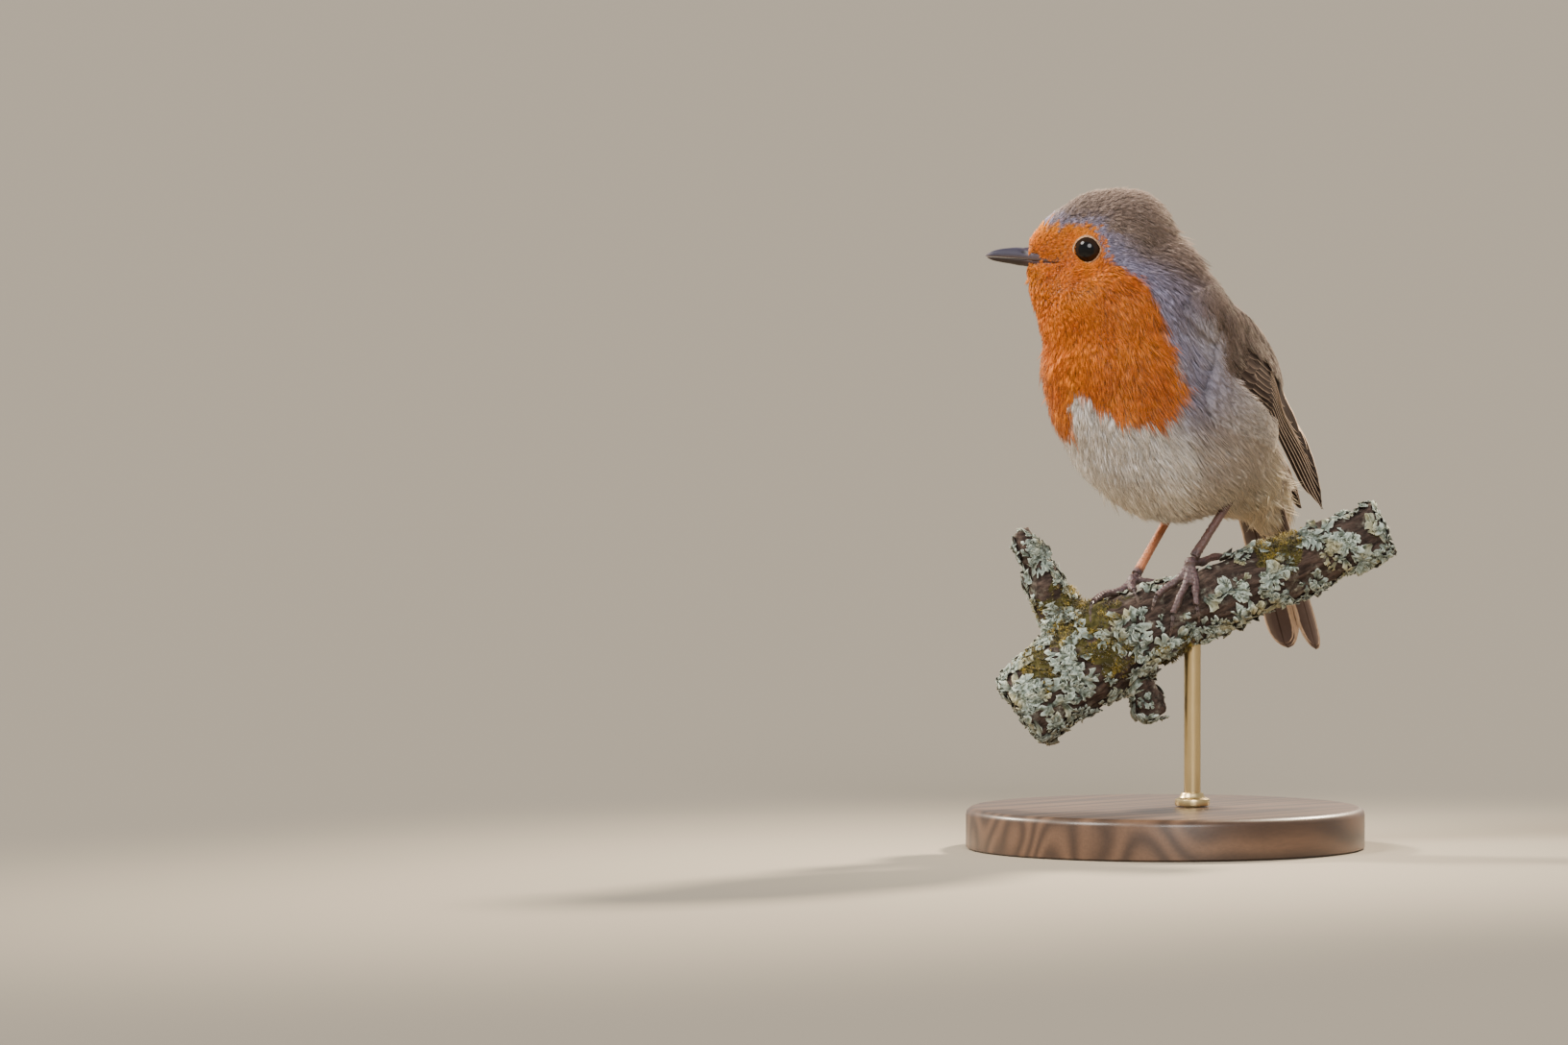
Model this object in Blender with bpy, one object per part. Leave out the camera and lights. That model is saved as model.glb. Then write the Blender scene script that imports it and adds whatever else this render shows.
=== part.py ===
"""A European robin, life size, gripping a cut length of branch on a plain display stand.

The trunk faces -X and the bird's left side faces -Y; the head is turned 45 degrees to its right.
+Z is up, and the origin is the centre of the stand's underside.
Shapes are worked out in millimetres, and each finished mesh is scaled to metres.
"""

import math

import bmesh
import bpy
from mathutils import Matrix, Vector, noise
from mathutils.bvhtree import BVHTree

MM = 0.001
GAP = 0.3  # clearance between neighbouring solids

# Stand
BASE_RADIUS = 48.0
BASE_HEIGHT = 10.0
BASE_BEVEL = 1.6
ROD_RADIUS = 2.0
ROD_SOCKET = 6.0  # how deep the rod sits in the base
ROD_IN_BRANCH = 5.0
ROD_PLACE = Vector((4.6, -4.6, 0.0))
FERRULE_RADIUS = 4.2
FERRULE_HEIGHT = 3.2
BASE_STEPS = 40  # sides of the turned solids
ROD_STEPS = 20
FERRULE_STEPS = 24

# Perch: it lies across the diagonal, level in depth, and climbs towards +X -Y
PERCH_HEADING = Vector((math.cos(math.radians(-45)), math.sin(math.radians(-45)), 0.0))
PERCH_HEIGHT = 55.1  # axis height over the origin
PERCH_SLOPE = math.radians(23)
FORK_AT = -15.0  # where the branch bends, along its heading
LOW_SLOPE = math.radians(38)
PERCH_LOW_END = -41.0
PERCH_HIGH_END = 56.0
PERCH_STATIONS = 26
PERCH_SIDES = 14
BARK_LUMP = 0.55
TWIG_ROOT_AT = -23.0  # where the broken twig and the stump leave the branch, along its heading
TWIG_TOP_AT = -34.8
TWIG_TOP_HEIGHT = 76.8
TWIG_RADII = (6.9, 2.4)
STUMP_ROOT_AT = -15.0
STUMP_END_AT = -2.0
STUMP_END_HEIGHT = 32.0
STUMP_RADII = (5.2, 2.9)
OFFSHOOT_STEPS = 7
OFFSHOOT_SIDES = 10

# Head: its own frame is forward, left, up, and is turned about the vertical
HEAD_TURN = math.radians(45)
HEAD_CENTRE = Vector((-17.3, 3.1, 143.7))
EYE_RADIUS = 4.1
EYE_PLACE = Vector((4.9, 6.2, 0.9))
EYE_SIDES = 14

# Bill, measured forward of the head's centre
BILL_ROOT = 14.8
BILL_TIP = 29.1
BILL_STATIONS = 9
BILL_SECTION_STEPS = 8  # round half a section
BILL_HALF_ROOT = 2.55
BILL_HALF_TIP = 0.42
PARTING_ROOT = -2.05  # height of the line where the mandibles meet
PARTING_TIP = -1.0
UPPER_DEPTH = 3.0
LOWER_DEPTH = 1.75
LOWER_REACH = 0.97  # length of the lower mandible, as a share of the upper one

# Trunk
TAIL_ROOT = Vector((28.3, 0.0, 100.0))
TAIL_TIP = Vector((49.9, 0.0, 46.2))
TAIL_HALF_ROOT = 4.6
TAIL_HALF_COVERTS = 9.0
TAIL_HALF_MIDDLE = 8.4
TAIL_HALF_TIP = 9.2
TAIL_THICK_ROOT = 1.9
TAIL_THICK_TIP = 0.9
TAIL_NOTCH = 2.6
TAIL_ARCH = 0.022  # how strongly the fan is roofed across
TAIL_STATIONS = 12
TAIL_ACROSS = 8

# Left wing, in the upright plane of its own length
WING_ROOT = Vector((-3.0, 0.0, 128.0))
WING_TIP = Vector((51.5, 0.0, 79.5))
WING_TIP_SIDE = 3.8  # distance of the tip from the middle plane
WING_TILT = 0.42  # how far the free wing leans in towards its upper edge
WING_THICK = 1.0  # how far the outer face stands over the plumage
WING_THICK_TIP = 0.9
WING_SINK = 1.2  # how far the inner face lies inside the plumage
WING_LEAVES_BODY = 44.0
WING_FREE_SIDE = 13.5  # distance from the middle plane where the wing stops following the body
WING_BEND_BELOW = 9.0  # length of the rounded bend, along its lower and its upper edge
WING_BEND_ABOVE = 16.0
WING_FLANK_DEPTH = 7.0  # how far the wing hangs down over the flank
WING_POINT_DEPTH = 1.6
WING_BACK_HEIGHT = 8.5
WING_STATIONS = 18
WING_ACROSS = 5

# Legs
LEG_RADIUS = 0.95
LEG_STEPS = 6
LEG_SIDES = 10
TOE_RADIUS = 0.86
TOE_LIFT = TOE_RADIUS + GAP + 0.15  # height of a toe's axis over the bark
TOE_STEPS = 5  # between two joints
CLAW_ROOT_RADIUS = 0.55
CLAW_TIP_RADIUS = 0.27
CLAW_STEPS = 4
CLAW_SIDES = 6
CLAW_ARCH = 0.7


def head_matrix():
    """Places head coordinates (forward, left, up) in the part's frame."""
    forward = Vector((-math.cos(HEAD_TURN), math.sin(HEAD_TURN), 0.0))
    left = Vector((-math.sin(HEAD_TURN), -math.cos(HEAD_TURN), 0.0))
    columns = Matrix((forward, left, Vector((0, 0, 1)))).transposed()
    return Matrix.Translation(HEAD_CENTRE) @ columns.to_4x4()


HEAD = head_matrix()

# Each form is (centre, half sizes, pitch in degrees); the pitch lifts the form's -X end
TRUNK_FORMS = {
    "shoulders": ((-7.5, 0, 121.0), (24.4, 22.6, 15.5), 10),
    "breast": ((-8.2, 0, 116.0), (25.6, 23.6, 18.0), 0),
    "keel": ((-4.5, 0, 109.5), (27.0, 24.4, 20.5), 0),
    "fore_belly": ((-3.0, 0, 101.0), (22.6, 21.6, 18.2), 0),
    "belly": ((3.0, 0, 105.1), (25.8, 24.6, 26.6), 0),
    "back": ((9.0, 0, 115.5), (27.2, 19.2, 17.2), 42),
    "vent": ((19.5, 0, 96.0), (20.0, 14.5, 13.5), 50),
    "tail_coverts": ((32.0, 0, 88.5), (17.5, 8.0, 6.3), 66),
}
HEAD_FORMS = {
    "crown": ((-1.0, 0, 0.2), (16.8, 9.5, 15.4), 0),
    "hind_crown": ((-4.5, 0, 3.0), (12.3, 11.9, 12.6), 0),
    "nape": ((-10.8, 0, -7.5), (14.0, 13.6, 12.2), 0),
    "face": ((8.8, 0, -1.3), (11.9, 7.6, 8.8), 0),
    "forehead": ((6.2, 0, 2.6), (11.4, 7.8, 8.8), 0),
    "cheeks": ((-2.5, 0, -7.0), (15.0, 12.6, 10.5), 0),
    "chin": ((9.5, 0, -8.5), (9.5, 8.3, 9.7), 0),
    "throat": ((2.6, 0, -16.0), (14.0, 14.4, 12.5), 0),
    "neck": ((-7.2, 0.5, -13.2), (23.6, 18.6, 15.7), -14),
}
THIGH_TOP = Vector((16.0, 10.5, 94.0))
THIGH_TOP_RADIUS = 6.5
THIGH_END_RADIUS = 2.3
THIGH_SIDES = 14


# ---------------------------------------------------------------- mesh helpers


def clear_scene():
    """Empties the scene of its objects."""
    for obj in list(bpy.data.objects):
        bpy.data.objects.remove(obj, do_unlink=True)


def mesh_object(name, bm):
    """Links a new object that holds the bmesh, and frees the bmesh."""
    mesh = bpy.data.meshes.new(name)
    bmesh.ops.recalc_face_normals(bm, faces=bm.faces)
    bm.to_mesh(mesh)
    bm.free()
    obj = bpy.data.objects.new(name, mesh)
    bpy.context.scene.collection.objects.link(obj)
    return obj


def settle(obj):
    """Replaces the object's mesh by its evaluated one and drops its modifiers."""
    graph = bpy.context.evaluated_depsgraph_get()
    graph.update()
    mesh = bpy.data.meshes.new_from_object(obj.evaluated_get(graph))
    obj.modifiers.clear()
    obj.data = mesh
    return obj


def remesh(obj, voxel, smoothing, triangles):
    """Fuses overlapping shells into one skin, smooths it and thins it to a triangle count."""
    fuse = obj.modifiers.new("fuse", "REMESH")
    fuse.mode = "VOXEL"
    fuse.voxel_size = voxel
    ease = obj.modifiers.new("ease", "SMOOTH")
    ease.factor = 0.5
    ease.iterations = smoothing
    settle(obj)
    count = sum(len(face.vertices) - 2 for face in obj.data.polygons)
    thin = obj.modifiers.new("thin", "DECIMATE")
    thin.ratio = min(1.0, triangles / count)
    return settle(obj)


def combine(obj, other, operation):
    """Runs one exact Boolean between two objects, in place."""
    step = obj.modifiers.new("combine", "BOOLEAN")
    step.object = other
    step.operation = operation
    step.solver = "EXACT"
    return settle(obj)


def swollen(obj, distance):
    """A copy of the object, grown outwards by a distance."""
    copy = bpy.data.objects.new(obj.name + "_swollen", obj.data.copy())
    bpy.context.scene.collection.objects.link(copy)
    grow = copy.modifiers.new("grow", "DISPLACE")
    grow.strength = distance
    grow.mid_level = 0.0
    return settle(copy)


def cut_away(obj, *tools):
    """Cuts swollen copies of the tools out of the object, so that a gap is left round each."""
    for tool in tools:
        cut_with(obj, swollen(tool, GAP))
    return obj


def cut_with(obj, cutter):
    """Cuts one shape out of the object and removes the cutter."""
    combine(obj, cutter, "DIFFERENCE")
    bpy.data.objects.remove(cutter, do_unlink=True)


def slice_off(obj, point, normal):
    """Keeps the part of the object behind a plane, and caps the cut."""
    bm = bmesh.new()
    bm.from_mesh(obj.data)
    geometry = list(bm.verts) + list(bm.edges) + list(bm.faces)
    cut = bmesh.ops.bisect_plane(bm, geom=geometry, plane_co=point, plane_no=normal, clear_outer=True)
    rim = [item for item in cut["geom_cut"] if isinstance(item, bmesh.types.BMEdge)]
    bmesh.ops.holes_fill(bm, edges=rim, sides=0)
    bmesh.ops.triangulate(bm, faces=[face for face in bm.faces if len(face.verts) > 4])
    bm.to_mesh(obj.data)
    bm.free()
    return obj


def duplicate(obj, name):
    """A second object with its own copy of the mesh."""
    copy = bpy.data.objects.new(name, obj.data.copy())
    bpy.context.scene.collection.objects.link(copy)
    return copy


def mirror_side(obj, name):
    """The same solid on the other side of the middle plane."""
    copy = duplicate(obj, name)
    copy.data.transform(Matrix.Diagonal((1, -1, 1, 1)))
    copy.data.flip_normals()
    return copy


def skin_rings(bm, rings):
    """Skins rings of equal length into a tube, with flat ends."""
    rows = [[bm.verts.new(point) for point in ring] for ring in rings]
    for row, after in zip(rows, rows[1:]):
        for i in range(len(row)):
            j = (i + 1) % len(row)
            bm.faces.new((row[i], row[j], after[j], after[i]))
    bm.faces.new(rows[0][::-1])
    bm.faces.new(rows[-1])


def tube_rings(path, radii, sides):
    """Rings along a path of points, carried along it without twisting."""
    tangents = []
    for i in range(len(path)):
        before = path[max(0, i - 1)]
        after = path[min(len(path) - 1, i + 1)]
        tangents.append((after - before).normalized())
    across = tangents[0].orthogonal().normalized()
    rings = []
    for point, tangent, radius in zip(path, tangents, radii):
        across = (across - tangent * across.dot(tangent)).normalized()
        over = tangent.cross(across)
        ring = []
        for i in range(sides):
            angle = math.tau * i / sides
            ring.append(point + radius * (math.cos(angle) * across + math.sin(angle) * over))
        rings.append(ring)
    return rings


def add_tube(bm, path, radii, sides):
    """Adds a closed tube to a bmesh."""
    skin_rings(bm, tube_rings(path, radii, sides))


def add_ellipsoid(bm, matrix, half_sizes, subdivisions=4):
    """Adds an ellipsoid, placed by a matrix."""
    shape = matrix @ Matrix.Diagonal((*half_sizes, 1.0))
    bmesh.ops.create_icosphere(bm, subdivisions=subdivisions, radius=1.0, matrix=shape)


def smooth_step(x):
    """0 below 0, 1 above 1, and an even ease between."""
    x = min(1.0, max(0.0, x))
    return x * x * (3 - 2 * x)


def mix(a, b, share):
    """The value that lies a share of the way from a to b."""
    return a + (b - a) * share


# ---------------------------------------------------------------- flesh


def add_forms(bm, forms, frame):
    """Adds a set of named ellipsoids in a frame; the pitch lifts their -X end."""
    for centre, half_sizes, pitch in forms.values():
        turn = Matrix.Rotation(math.radians(pitch), 4, "Y")
        add_ellipsoid(bm, frame @ Matrix.Translation(centre) @ turn, half_sizes)


def thigh_path(side):
    """The line from inside the belly down to where the bare leg shows."""
    knee = Vector((THIGH_TOP.x, side * THIGH_TOP.y, THIGH_TOP.z))
    return [knee.lerp(LEG_SHOWS[side], i / 4) for i in range(5)]


def make_flesh():
    """The feathered outline of trunk, neck, head and thighs, as one closed skin."""
    bm = bmesh.new()
    add_forms(bm, TRUNK_FORMS, Matrix.Identity(4))
    add_forms(bm, HEAD_FORMS, HEAD)
    for side in (-1, 1):
        path = thigh_path(side)
        radii = [mix(THIGH_TOP_RADIUS, THIGH_END_RADIUS, i / (len(path) - 1)) for i in range(len(path))]
        add_tube(bm, path, radii, THIGH_SIDES)
    return remesh(mesh_object("flesh", bm), voxel=0.8, smoothing=42, triangles=2100)


# ---------------------------------------------------------------- head parts


def make_eye(side):
    """One eyeball, set into the head so that only its front shows."""
    bm = bmesh.new()
    place = Vector((EYE_PLACE.x, side * -EYE_PLACE.y, EYE_PLACE.z))
    bmesh.ops.create_uvsphere(
        bm,
        u_segments=EYE_SIDES,
        v_segments=EYE_SIDES // 2,
        radius=EYE_RADIUS,
        matrix=Matrix.Translation(HEAD @ place),
    )
    return mesh_object("eye_left" if side < 0 else "eye_right", bm)


def bill_half_width(share):
    """Half the bill's width, from the root (0) to the tip (1)."""
    return mix(BILL_HALF_ROOT, BILL_HALF_TIP, share**0.85)


def bill_parting(share):
    """Height of the line where the mandibles meet."""
    return mix(PARTING_ROOT, PARTING_TIP, share)


def upper_depth(share):
    """Height of the culmen over the parting line: nearly straight, then hooked down at the tip."""
    return UPPER_DEPTH * (1 - 0.28 * share - 0.55 * share**5)


def lower_depth(share):
    """Depth of the lower mandible under the parting line."""
    return LOWER_DEPTH * (1 - 0.45 * share - 0.4 * share**3)


def mandible_ring(share, depth, upward):
    """A half-round section whose flat side lies on the parting line."""
    forward = mix(BILL_ROOT, BILL_TIP, share)
    level = bill_parting(share) + upward * GAP / 2
    half = bill_half_width(share)
    ring = []
    for i in range(BILL_SECTION_STEPS + 1):
        angle = math.pi * i / BILL_SECTION_STEPS
        side = -upward * half * math.cos(angle)
        height = level + upward * depth * math.sin(angle) ** 0.85
        ring.append(HEAD @ Vector((forward, side, height)))
    return ring


def make_mandible(name, depth_of, upward, reach):
    """One half of the bill. The reach is where it ends, as a share of the bill's length."""
    bm = bmesh.new()
    shares = [reach * i / BILL_STATIONS for i in range(BILL_STATIONS + 1)]
    skin_rings(bm, [mandible_ring(share, depth_of(share), upward) for share in shares])
    return mesh_object(name, bm)


# ---------------------------------------------------------------- wings and tail


def wing_axes():
    """Unit vectors along the folded wing and up across it."""
    along = (WING_TIP - WING_ROOT).normalized()
    return along, Vector((-along.z, 0.0, along.x))


def wing_length():
    """Distance from the bend of the wing to its tip."""
    return (WING_TIP - WING_ROOT).length


def wing_lower_edge(s):
    """How far the wing reaches down from its axis: full at the flank, slender over the tail."""
    front = math.sqrt(max(0.0, 1 - (1 - min(1.0, s / WING_BEND_BELOW)) ** 2))
    flank = WING_FLANK_DEPTH * (1 - smooth_step((s - 8.0) / 42.0))
    end = math.sqrt(max(0.0, 1 - max(0.0, (s - 60.0) / (wing_length() - 59.9)) ** 2))
    return -front * flank - WING_POINT_DEPTH * end


def wing_upper_edge(s):
    """How far the wing reaches up from its axis: level over the back, then rounded to the tip."""
    front = math.sqrt(max(0.0, 1 - (1 - min(1.0, s / WING_BEND_ABOVE)) ** 2))
    free = max(0.0, s - 43.0) / (wing_length() - 42.9)
    return WING_BACK_HEIGHT * front * math.sqrt(max(0.0, 1 - free**2.0)) + 0.4


def wing_side(flesh_tree, point, s, rise):
    """Distance of the wing from the middle plane over one point of its upright plane."""
    share = smooth_step((s - 28.0) / (wing_length() - 26.0))
    free = mix(WING_FREE_SIDE, WING_TIP_SIDE, share) - rise * WING_TILT * (1 - share)
    hit = flesh_tree.ray_cast(Vector((point.x, -80.0, point.z)), Vector((0, 1, 0)))[0]
    if hit is None:
        return free
    return mix(-hit.y, free, smooth_step((s - WING_LEAVES_BODY + 14) / 20))


def smooth_rows(rows, passes):
    """Evens out a grid of numbers, keeping its first and last row."""
    for _ in range(passes):
        older = [list(row) for row in rows]
        for i in range(1, len(rows) - 1):
            for j in range(len(rows[i])):
                left = older[i][max(0, j - 1)]
                right = older[i][min(len(rows[i]) - 1, j + 1)]
                rows[i][j] = (older[i - 1][j] + older[i + 1][j] + left + right + 2 * older[i][j]) / 6
    return rows


def wing_surface(flesh, rim):
    """Points over the folded left wing, in rows from its bend to its tip, widened by a rim."""
    tree = BVHTree.FromObject(flesh, bpy.context.evaluated_depsgraph_get())
    along, up = wing_axes()
    planar, sides = [], []
    for i in range(WING_STATIONS + 1):
        s = wing_length() * (i / WING_STATIONS) ** 0.93
        spread = s + rim * (2 * i / WING_STATIONS - 1)
        rises = [
            mix(wing_lower_edge(s) - rim, wing_upper_edge(s) + rim, j / WING_ACROSS)
            for j in range(WING_ACROSS + 1)
        ]
        row = [WING_ROOT + along * spread + up * rise for rise in rises]
        planar.append(row)
        sides.append([wing_side(tree, point, s, rise) for point, rise in zip(row, rises)])
    smooth_rows(sides, 6)
    return [[Vector((p.x, -y, p.z)) for p, y in zip(row, ys)] for row, ys in zip(planar, sides)]


def make_wing(name, flesh, rim=0.0, over=0.0, under=0.0):
    """The folded left wing, a thin shell along the flank; it can be made larger, as its cutter."""
    middle = wing_surface(flesh, rim)
    rings = []
    for i, row in enumerate(middle):
        share = i / WING_STATIONS
        thick = mix(WING_THICK, WING_THICK_TIP / 2, smooth_step(share * 1.3)) + over
        sink = mix(WING_SINK, WING_THICK_TIP / 2, smooth_step(share * 1.5)) + under
        normals = [shell_normal(middle, i, j) for j in range(len(row))]
        edges = [0.7 if j in (0, WING_ACROSS) else 1.0 for j in range(len(row))]
        outer = [p + n * thick * edge for p, n, edge in zip(row, normals, edges)]
        inner = [p - n * sink for p, n in zip(row, normals)]
        rings.append(outer + inner[::-1])
    bm = bmesh.new()
    skin_rings(bm, rings)
    return mesh_object(name, bm)


def shell_normal(grid, i, j):
    """The outward normal of a grid of points at one of them; outward is -Y."""
    before, after = grid[max(0, i - 1)][j], grid[min(len(grid) - 1, i + 1)][j]
    below, above = grid[i][max(0, j - 1)], grid[i][min(len(grid[i]) - 1, j + 1)]
    normal = (after - before).cross(above - below).normalized()
    return -normal if normal.y > 0 else normal


def tail_half_width(share):
    """Half the tail's width, from its root (0) to its tip (1)."""
    root = mix(TAIL_HALF_ROOT, TAIL_HALF_COVERTS, smooth_step(share / 0.3))
    body = mix(root, TAIL_HALF_MIDDLE, smooth_step((share - 0.3) / 0.25))
    return mix(body, TAIL_HALF_TIP, smooth_step((share - 0.55) / 0.45))


def tail_end(across):
    """Length of the tail at a share of its half width: notched in the middle, round at the corners."""
    notch = TAIL_NOTCH * (1 - min(1.0, abs(across) * 2.0)) ** 1.5
    corner = 3.2 * max(0.0, abs(across) - 0.55) ** 2 / 0.2
    return (TAIL_TIP - TAIL_ROOT).length - notch - corner


def make_tail():
    """The closed tail: a thin fan, roofed across, with a shallow notch."""
    along = (TAIL_TIP - TAIL_ROOT).normalized()
    back = Vector((-along.z, 0.0, along.x))
    rings = []
    for i in range(TAIL_STATIONS + 1):
        share = i / TAIL_STATIONS
        thick = mix(TAIL_THICK_ROOT, TAIL_THICK_TIP, share**0.6)
        top, bottom = [], []
        for j in range(TAIL_ACROSS + 1):
            across = 2 * j / TAIL_ACROSS - 1
            side = across * tail_half_width(share)
            roof = back * (-TAIL_ARCH * side * side)
            point = TAIL_ROOT + along * (share * tail_end(across)) + Vector((0, side, 0)) + roof
            top.append(point + back * thick / 2)
            bottom.append(point - back * thick / 2)
        rings.append(top + bottom[::-1])
    bm = bmesh.new()
    skin_rings(bm, rings)
    return mesh_object("tail", bm)


# ---------------------------------------------------------------- perch


def perch_axis(s):
    """The point on the branch's axis at a distance along it, from over the origin."""
    straight = Vector((math.cos(PERCH_SLOPE), math.sin(PERCH_SLOPE)))
    low = Vector((math.cos(LOW_SLOPE), math.sin(LOW_SLOPE)))
    if s >= FORK_AT:
        flat = straight * s
    else:
        flat = straight * FORK_AT + low * (s - FORK_AT)
    return PERCH_HEADING * flat.x + Vector((0, 0, PERCH_HEIGHT + flat.y))


def eased_perch_axis(s, reach=5.0):
    """The branch's axis with its bend rounded off."""
    return (perch_axis(s - reach) + perch_axis(s) * 2 + perch_axis(s + reach)) / 4


def perch_directions(s):
    """Unit vectors along the branch, up across it, and towards the bird's front-left side."""
    along = (eased_perch_axis(s + 1) - eased_perch_axis(s - 1)).normalized()
    front = Vector((-math.sin(math.radians(45)), -math.cos(math.radians(45)), 0.0))
    return along, front.cross(along).normalized(), front


def perch_radius(s, angle):
    """The branch's radius: thickest at the fork, with slow lumps in the bark."""
    base = 8.5 - 0.031 * s
    fork = 2.6 * math.exp(-(((s + 19.0) / 10.0) ** 2))
    lump = noise.noise(Vector((s * 0.16, 1.3 * math.cos(angle), 1.3 * math.sin(angle))))
    return base + fork + BARK_LUMP * lump


def perch_point(s, angle, height=0.0):
    """A point over the branch's surface; the angle runs from its top towards the bird's front."""
    _, up, front = perch_directions(s)
    reach = perch_radius(s, angle) + height
    return eased_perch_axis(s) + reach * (math.cos(angle) * up + math.sin(angle) * front)


def make_perch(rod):
    """The cut length of branch, with a broken twig above the fork and a stump below it."""
    bm = bmesh.new()
    rings = []
    for i in range(PERCH_STATIONS + 1):
        s = mix(PERCH_LOW_END, PERCH_HIGH_END, i / PERCH_STATIONS)
        rings.append([perch_point(s, math.tau * k / PERCH_SIDES) for k in range(PERCH_SIDES)])
    skin_rings(bm, rings)
    branch = mesh_object("perch_branch", bm)
    twig_top = PERCH_HEADING * TWIG_TOP_AT + Vector((0, 0, TWIG_TOP_HEIGHT))
    stump_end = PERCH_HEADING * STUMP_END_AT + Vector((0, 0, STUMP_END_HEIGHT))
    for root_at, end, radii in (
        (TWIG_ROOT_AT, twig_top, TWIG_RADII),
        (STUMP_ROOT_AT, stump_end, STUMP_RADII),
    ):
        offshoot = make_offshoot(eased_perch_axis(root_at), end, *radii)
        combine(branch, offshoot, "UNION")
        bpy.data.objects.remove(offshoot, do_unlink=True)
    return cut_away(branch, rod)


def make_offshoot(root, end, thick, thin):
    """A short side twig with knuckles in its bark, snapped off at its end."""
    path, radii = [], []
    for i in range(OFFSHOOT_STEPS + 1):
        share = i / OFFSHOOT_STEPS
        path.append(root.lerp(end, share))
        radii.append(mix(thick, thin, share) + 0.35 * math.sin(share * 17.0))
    bm = bmesh.new()
    add_tube(bm, path, radii, OFFSHOOT_SIDES)
    return mesh_object("offshoot", bm)


# ---------------------------------------------------------------- legs and feet

# Where each foot stands on the branch: distance along it, angle from its top, height over the bark
FOOT_PLACES = {-1: (10.8, math.radians(26), 3.2), 1: (-3.4, math.radians(-20), 3.6)}
# Where each bare leg leaves the belly's feathers
LEG_SHOWS = {-1: Vector((10.8, -10.6, 83.3)), 1: Vector((11.9, 10.2, 79.0))}
LEG_HIDDEN = 7.0
HUB_RADIUS = 1.45
# Each toe is a run of (distance along the branch, angle in degrees) for its joints, then the claw's tip
TOES = {
    -1: {
        "hallux": ((13.6, 6), (17.0, -14), (19.0, -30), (20.0, -58)),
        "inner": ((7.0, 34), (3.6, 40), (0.4, 48), (-2.2, 66)),
        "middle": ((8.2, 46), (5.0, 66), (2.2, 83), (-0.6, 112)),
        "outer": ((10.2, 50), (9.2, 66), (8.2, 84), (7.2, 110)),
    },
    1: {
        "hallux": ((0.8, -26), (4.4, -40), (6.4, -54), (7.6, -80)),
        "inner": ((-4.6, 0), (-4.4, 13), (-4.2, 24), (-4.4, 46)),
        "middle": ((-7.0, -10), (-10.6, 0), (-13.6, 20), (-15.6, 52)),
        "outer": ((-7.2, -28), (-11.8, -32), (-16.0, -32), (-19.0, -46)),
    },
}


def foot_point(side):
    """The joint where the toes meet the leg."""
    s, angle, height = FOOT_PLACES[side]
    return perch_point(s, angle, height)


def make_leg(side):
    """The bare leg, from inside the thigh's feathers to the foot."""
    shown, foot = LEG_SHOWS[side], foot_point(side)
    axis = (foot - shown).normalized()
    start = shown - axis * LEG_HIDDEN
    end = foot - axis * (HUB_RADIUS + GAP + 0.1)
    path = [start.lerp(end, i / LEG_STEPS) for i in range(LEG_STEPS + 1)]
    radii = [LEG_RADIUS + 0.3 * abs(2 * i / LEG_STEPS - 1) ** 4 for i in range(LEG_STEPS + 1)]
    bm = bmesh.new()
    add_tube(bm, path, radii, LEG_SIDES)
    return mesh_object("leg_left" if side < 0 else "leg_right", bm)


def toe_path(side, joints):
    """Points along a toe: from the foot's joint, down to the bark and along it."""
    controls = [foot_point(side)]
    controls += [perch_point(s, math.radians(angle), TOE_LIFT) for s, angle in joints[:3]]
    path = [controls[0]]
    for k in range(len(controls) - 1):
        for i in range(1, TOE_STEPS + 1):
            share = i / TOE_STEPS
            point = controls[k].lerp(controls[k + 1], share)
            if k > 0:
                s = mix(joints[k - 1][0], joints[k][0], share)
                angle = math.radians(mix(joints[k - 1][1], joints[k][1], share))
                point = perch_point(s, angle, TOE_LIFT)
            path.append(point)
    return path


def make_foot(side):
    """The four toes and the pad that joins them, as one piece."""
    bm = bmesh.new()
    for joints in TOES[side].values():
        path = toe_path(side, joints)
        radii = []
        for i in range(len(path)):
            share = i / (len(path) - 1)
            radii.append(TOE_RADIUS * (1.12 - 0.22 * share + 0.09 * math.cos(share * 3 * math.tau)))
        add_tube(bm, path, radii, LEG_SIDES)
    add_ellipsoid(bm, Matrix.Translation(foot_point(side)), (HUB_RADIUS,) * 3, 3)
    name = "foot_left" if side < 0 else "foot_right"
    return remesh(mesh_object(name, bm), voxel=0.3, smoothing=3, triangles=400)


def make_claw(side, toe, joints):
    """A curved claw that carries on from the end of its toe, round the branch."""
    (s0, a0), (s1, a1) = joints[2], joints[3]
    reach = perch_point(s1, math.radians(a1), TOE_LIFT) - perch_point(s0, math.radians(a0), TOE_LIFT)
    start_share = (GAP + 0.15) / reach.length
    path, radii = [], []
    for i in range(CLAW_STEPS + 1):
        share = i / CLAW_STEPS
        run = mix(start_share, 1.0, share)
        arch = CLAW_ARCH * math.sin(math.pi * share) * (1 - share)
        height = mix(TOE_LIFT + 0.15, CLAW_TIP_RADIUS + GAP + 0.1, share**1.6) + arch
        path.append(perch_point(mix(s0, s1, run), math.radians(mix(a0, a1, run)), height))
        radii.append(mix(CLAW_ROOT_RADIUS, CLAW_TIP_RADIUS, share))
    bm = bmesh.new()
    add_tube(bm, path, radii, CLAW_SIDES)
    return mesh_object(f"claw_{'left' if side < 0 else 'right'}_{toe}", bm)


# ---------------------------------------------------------------- stand


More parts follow.
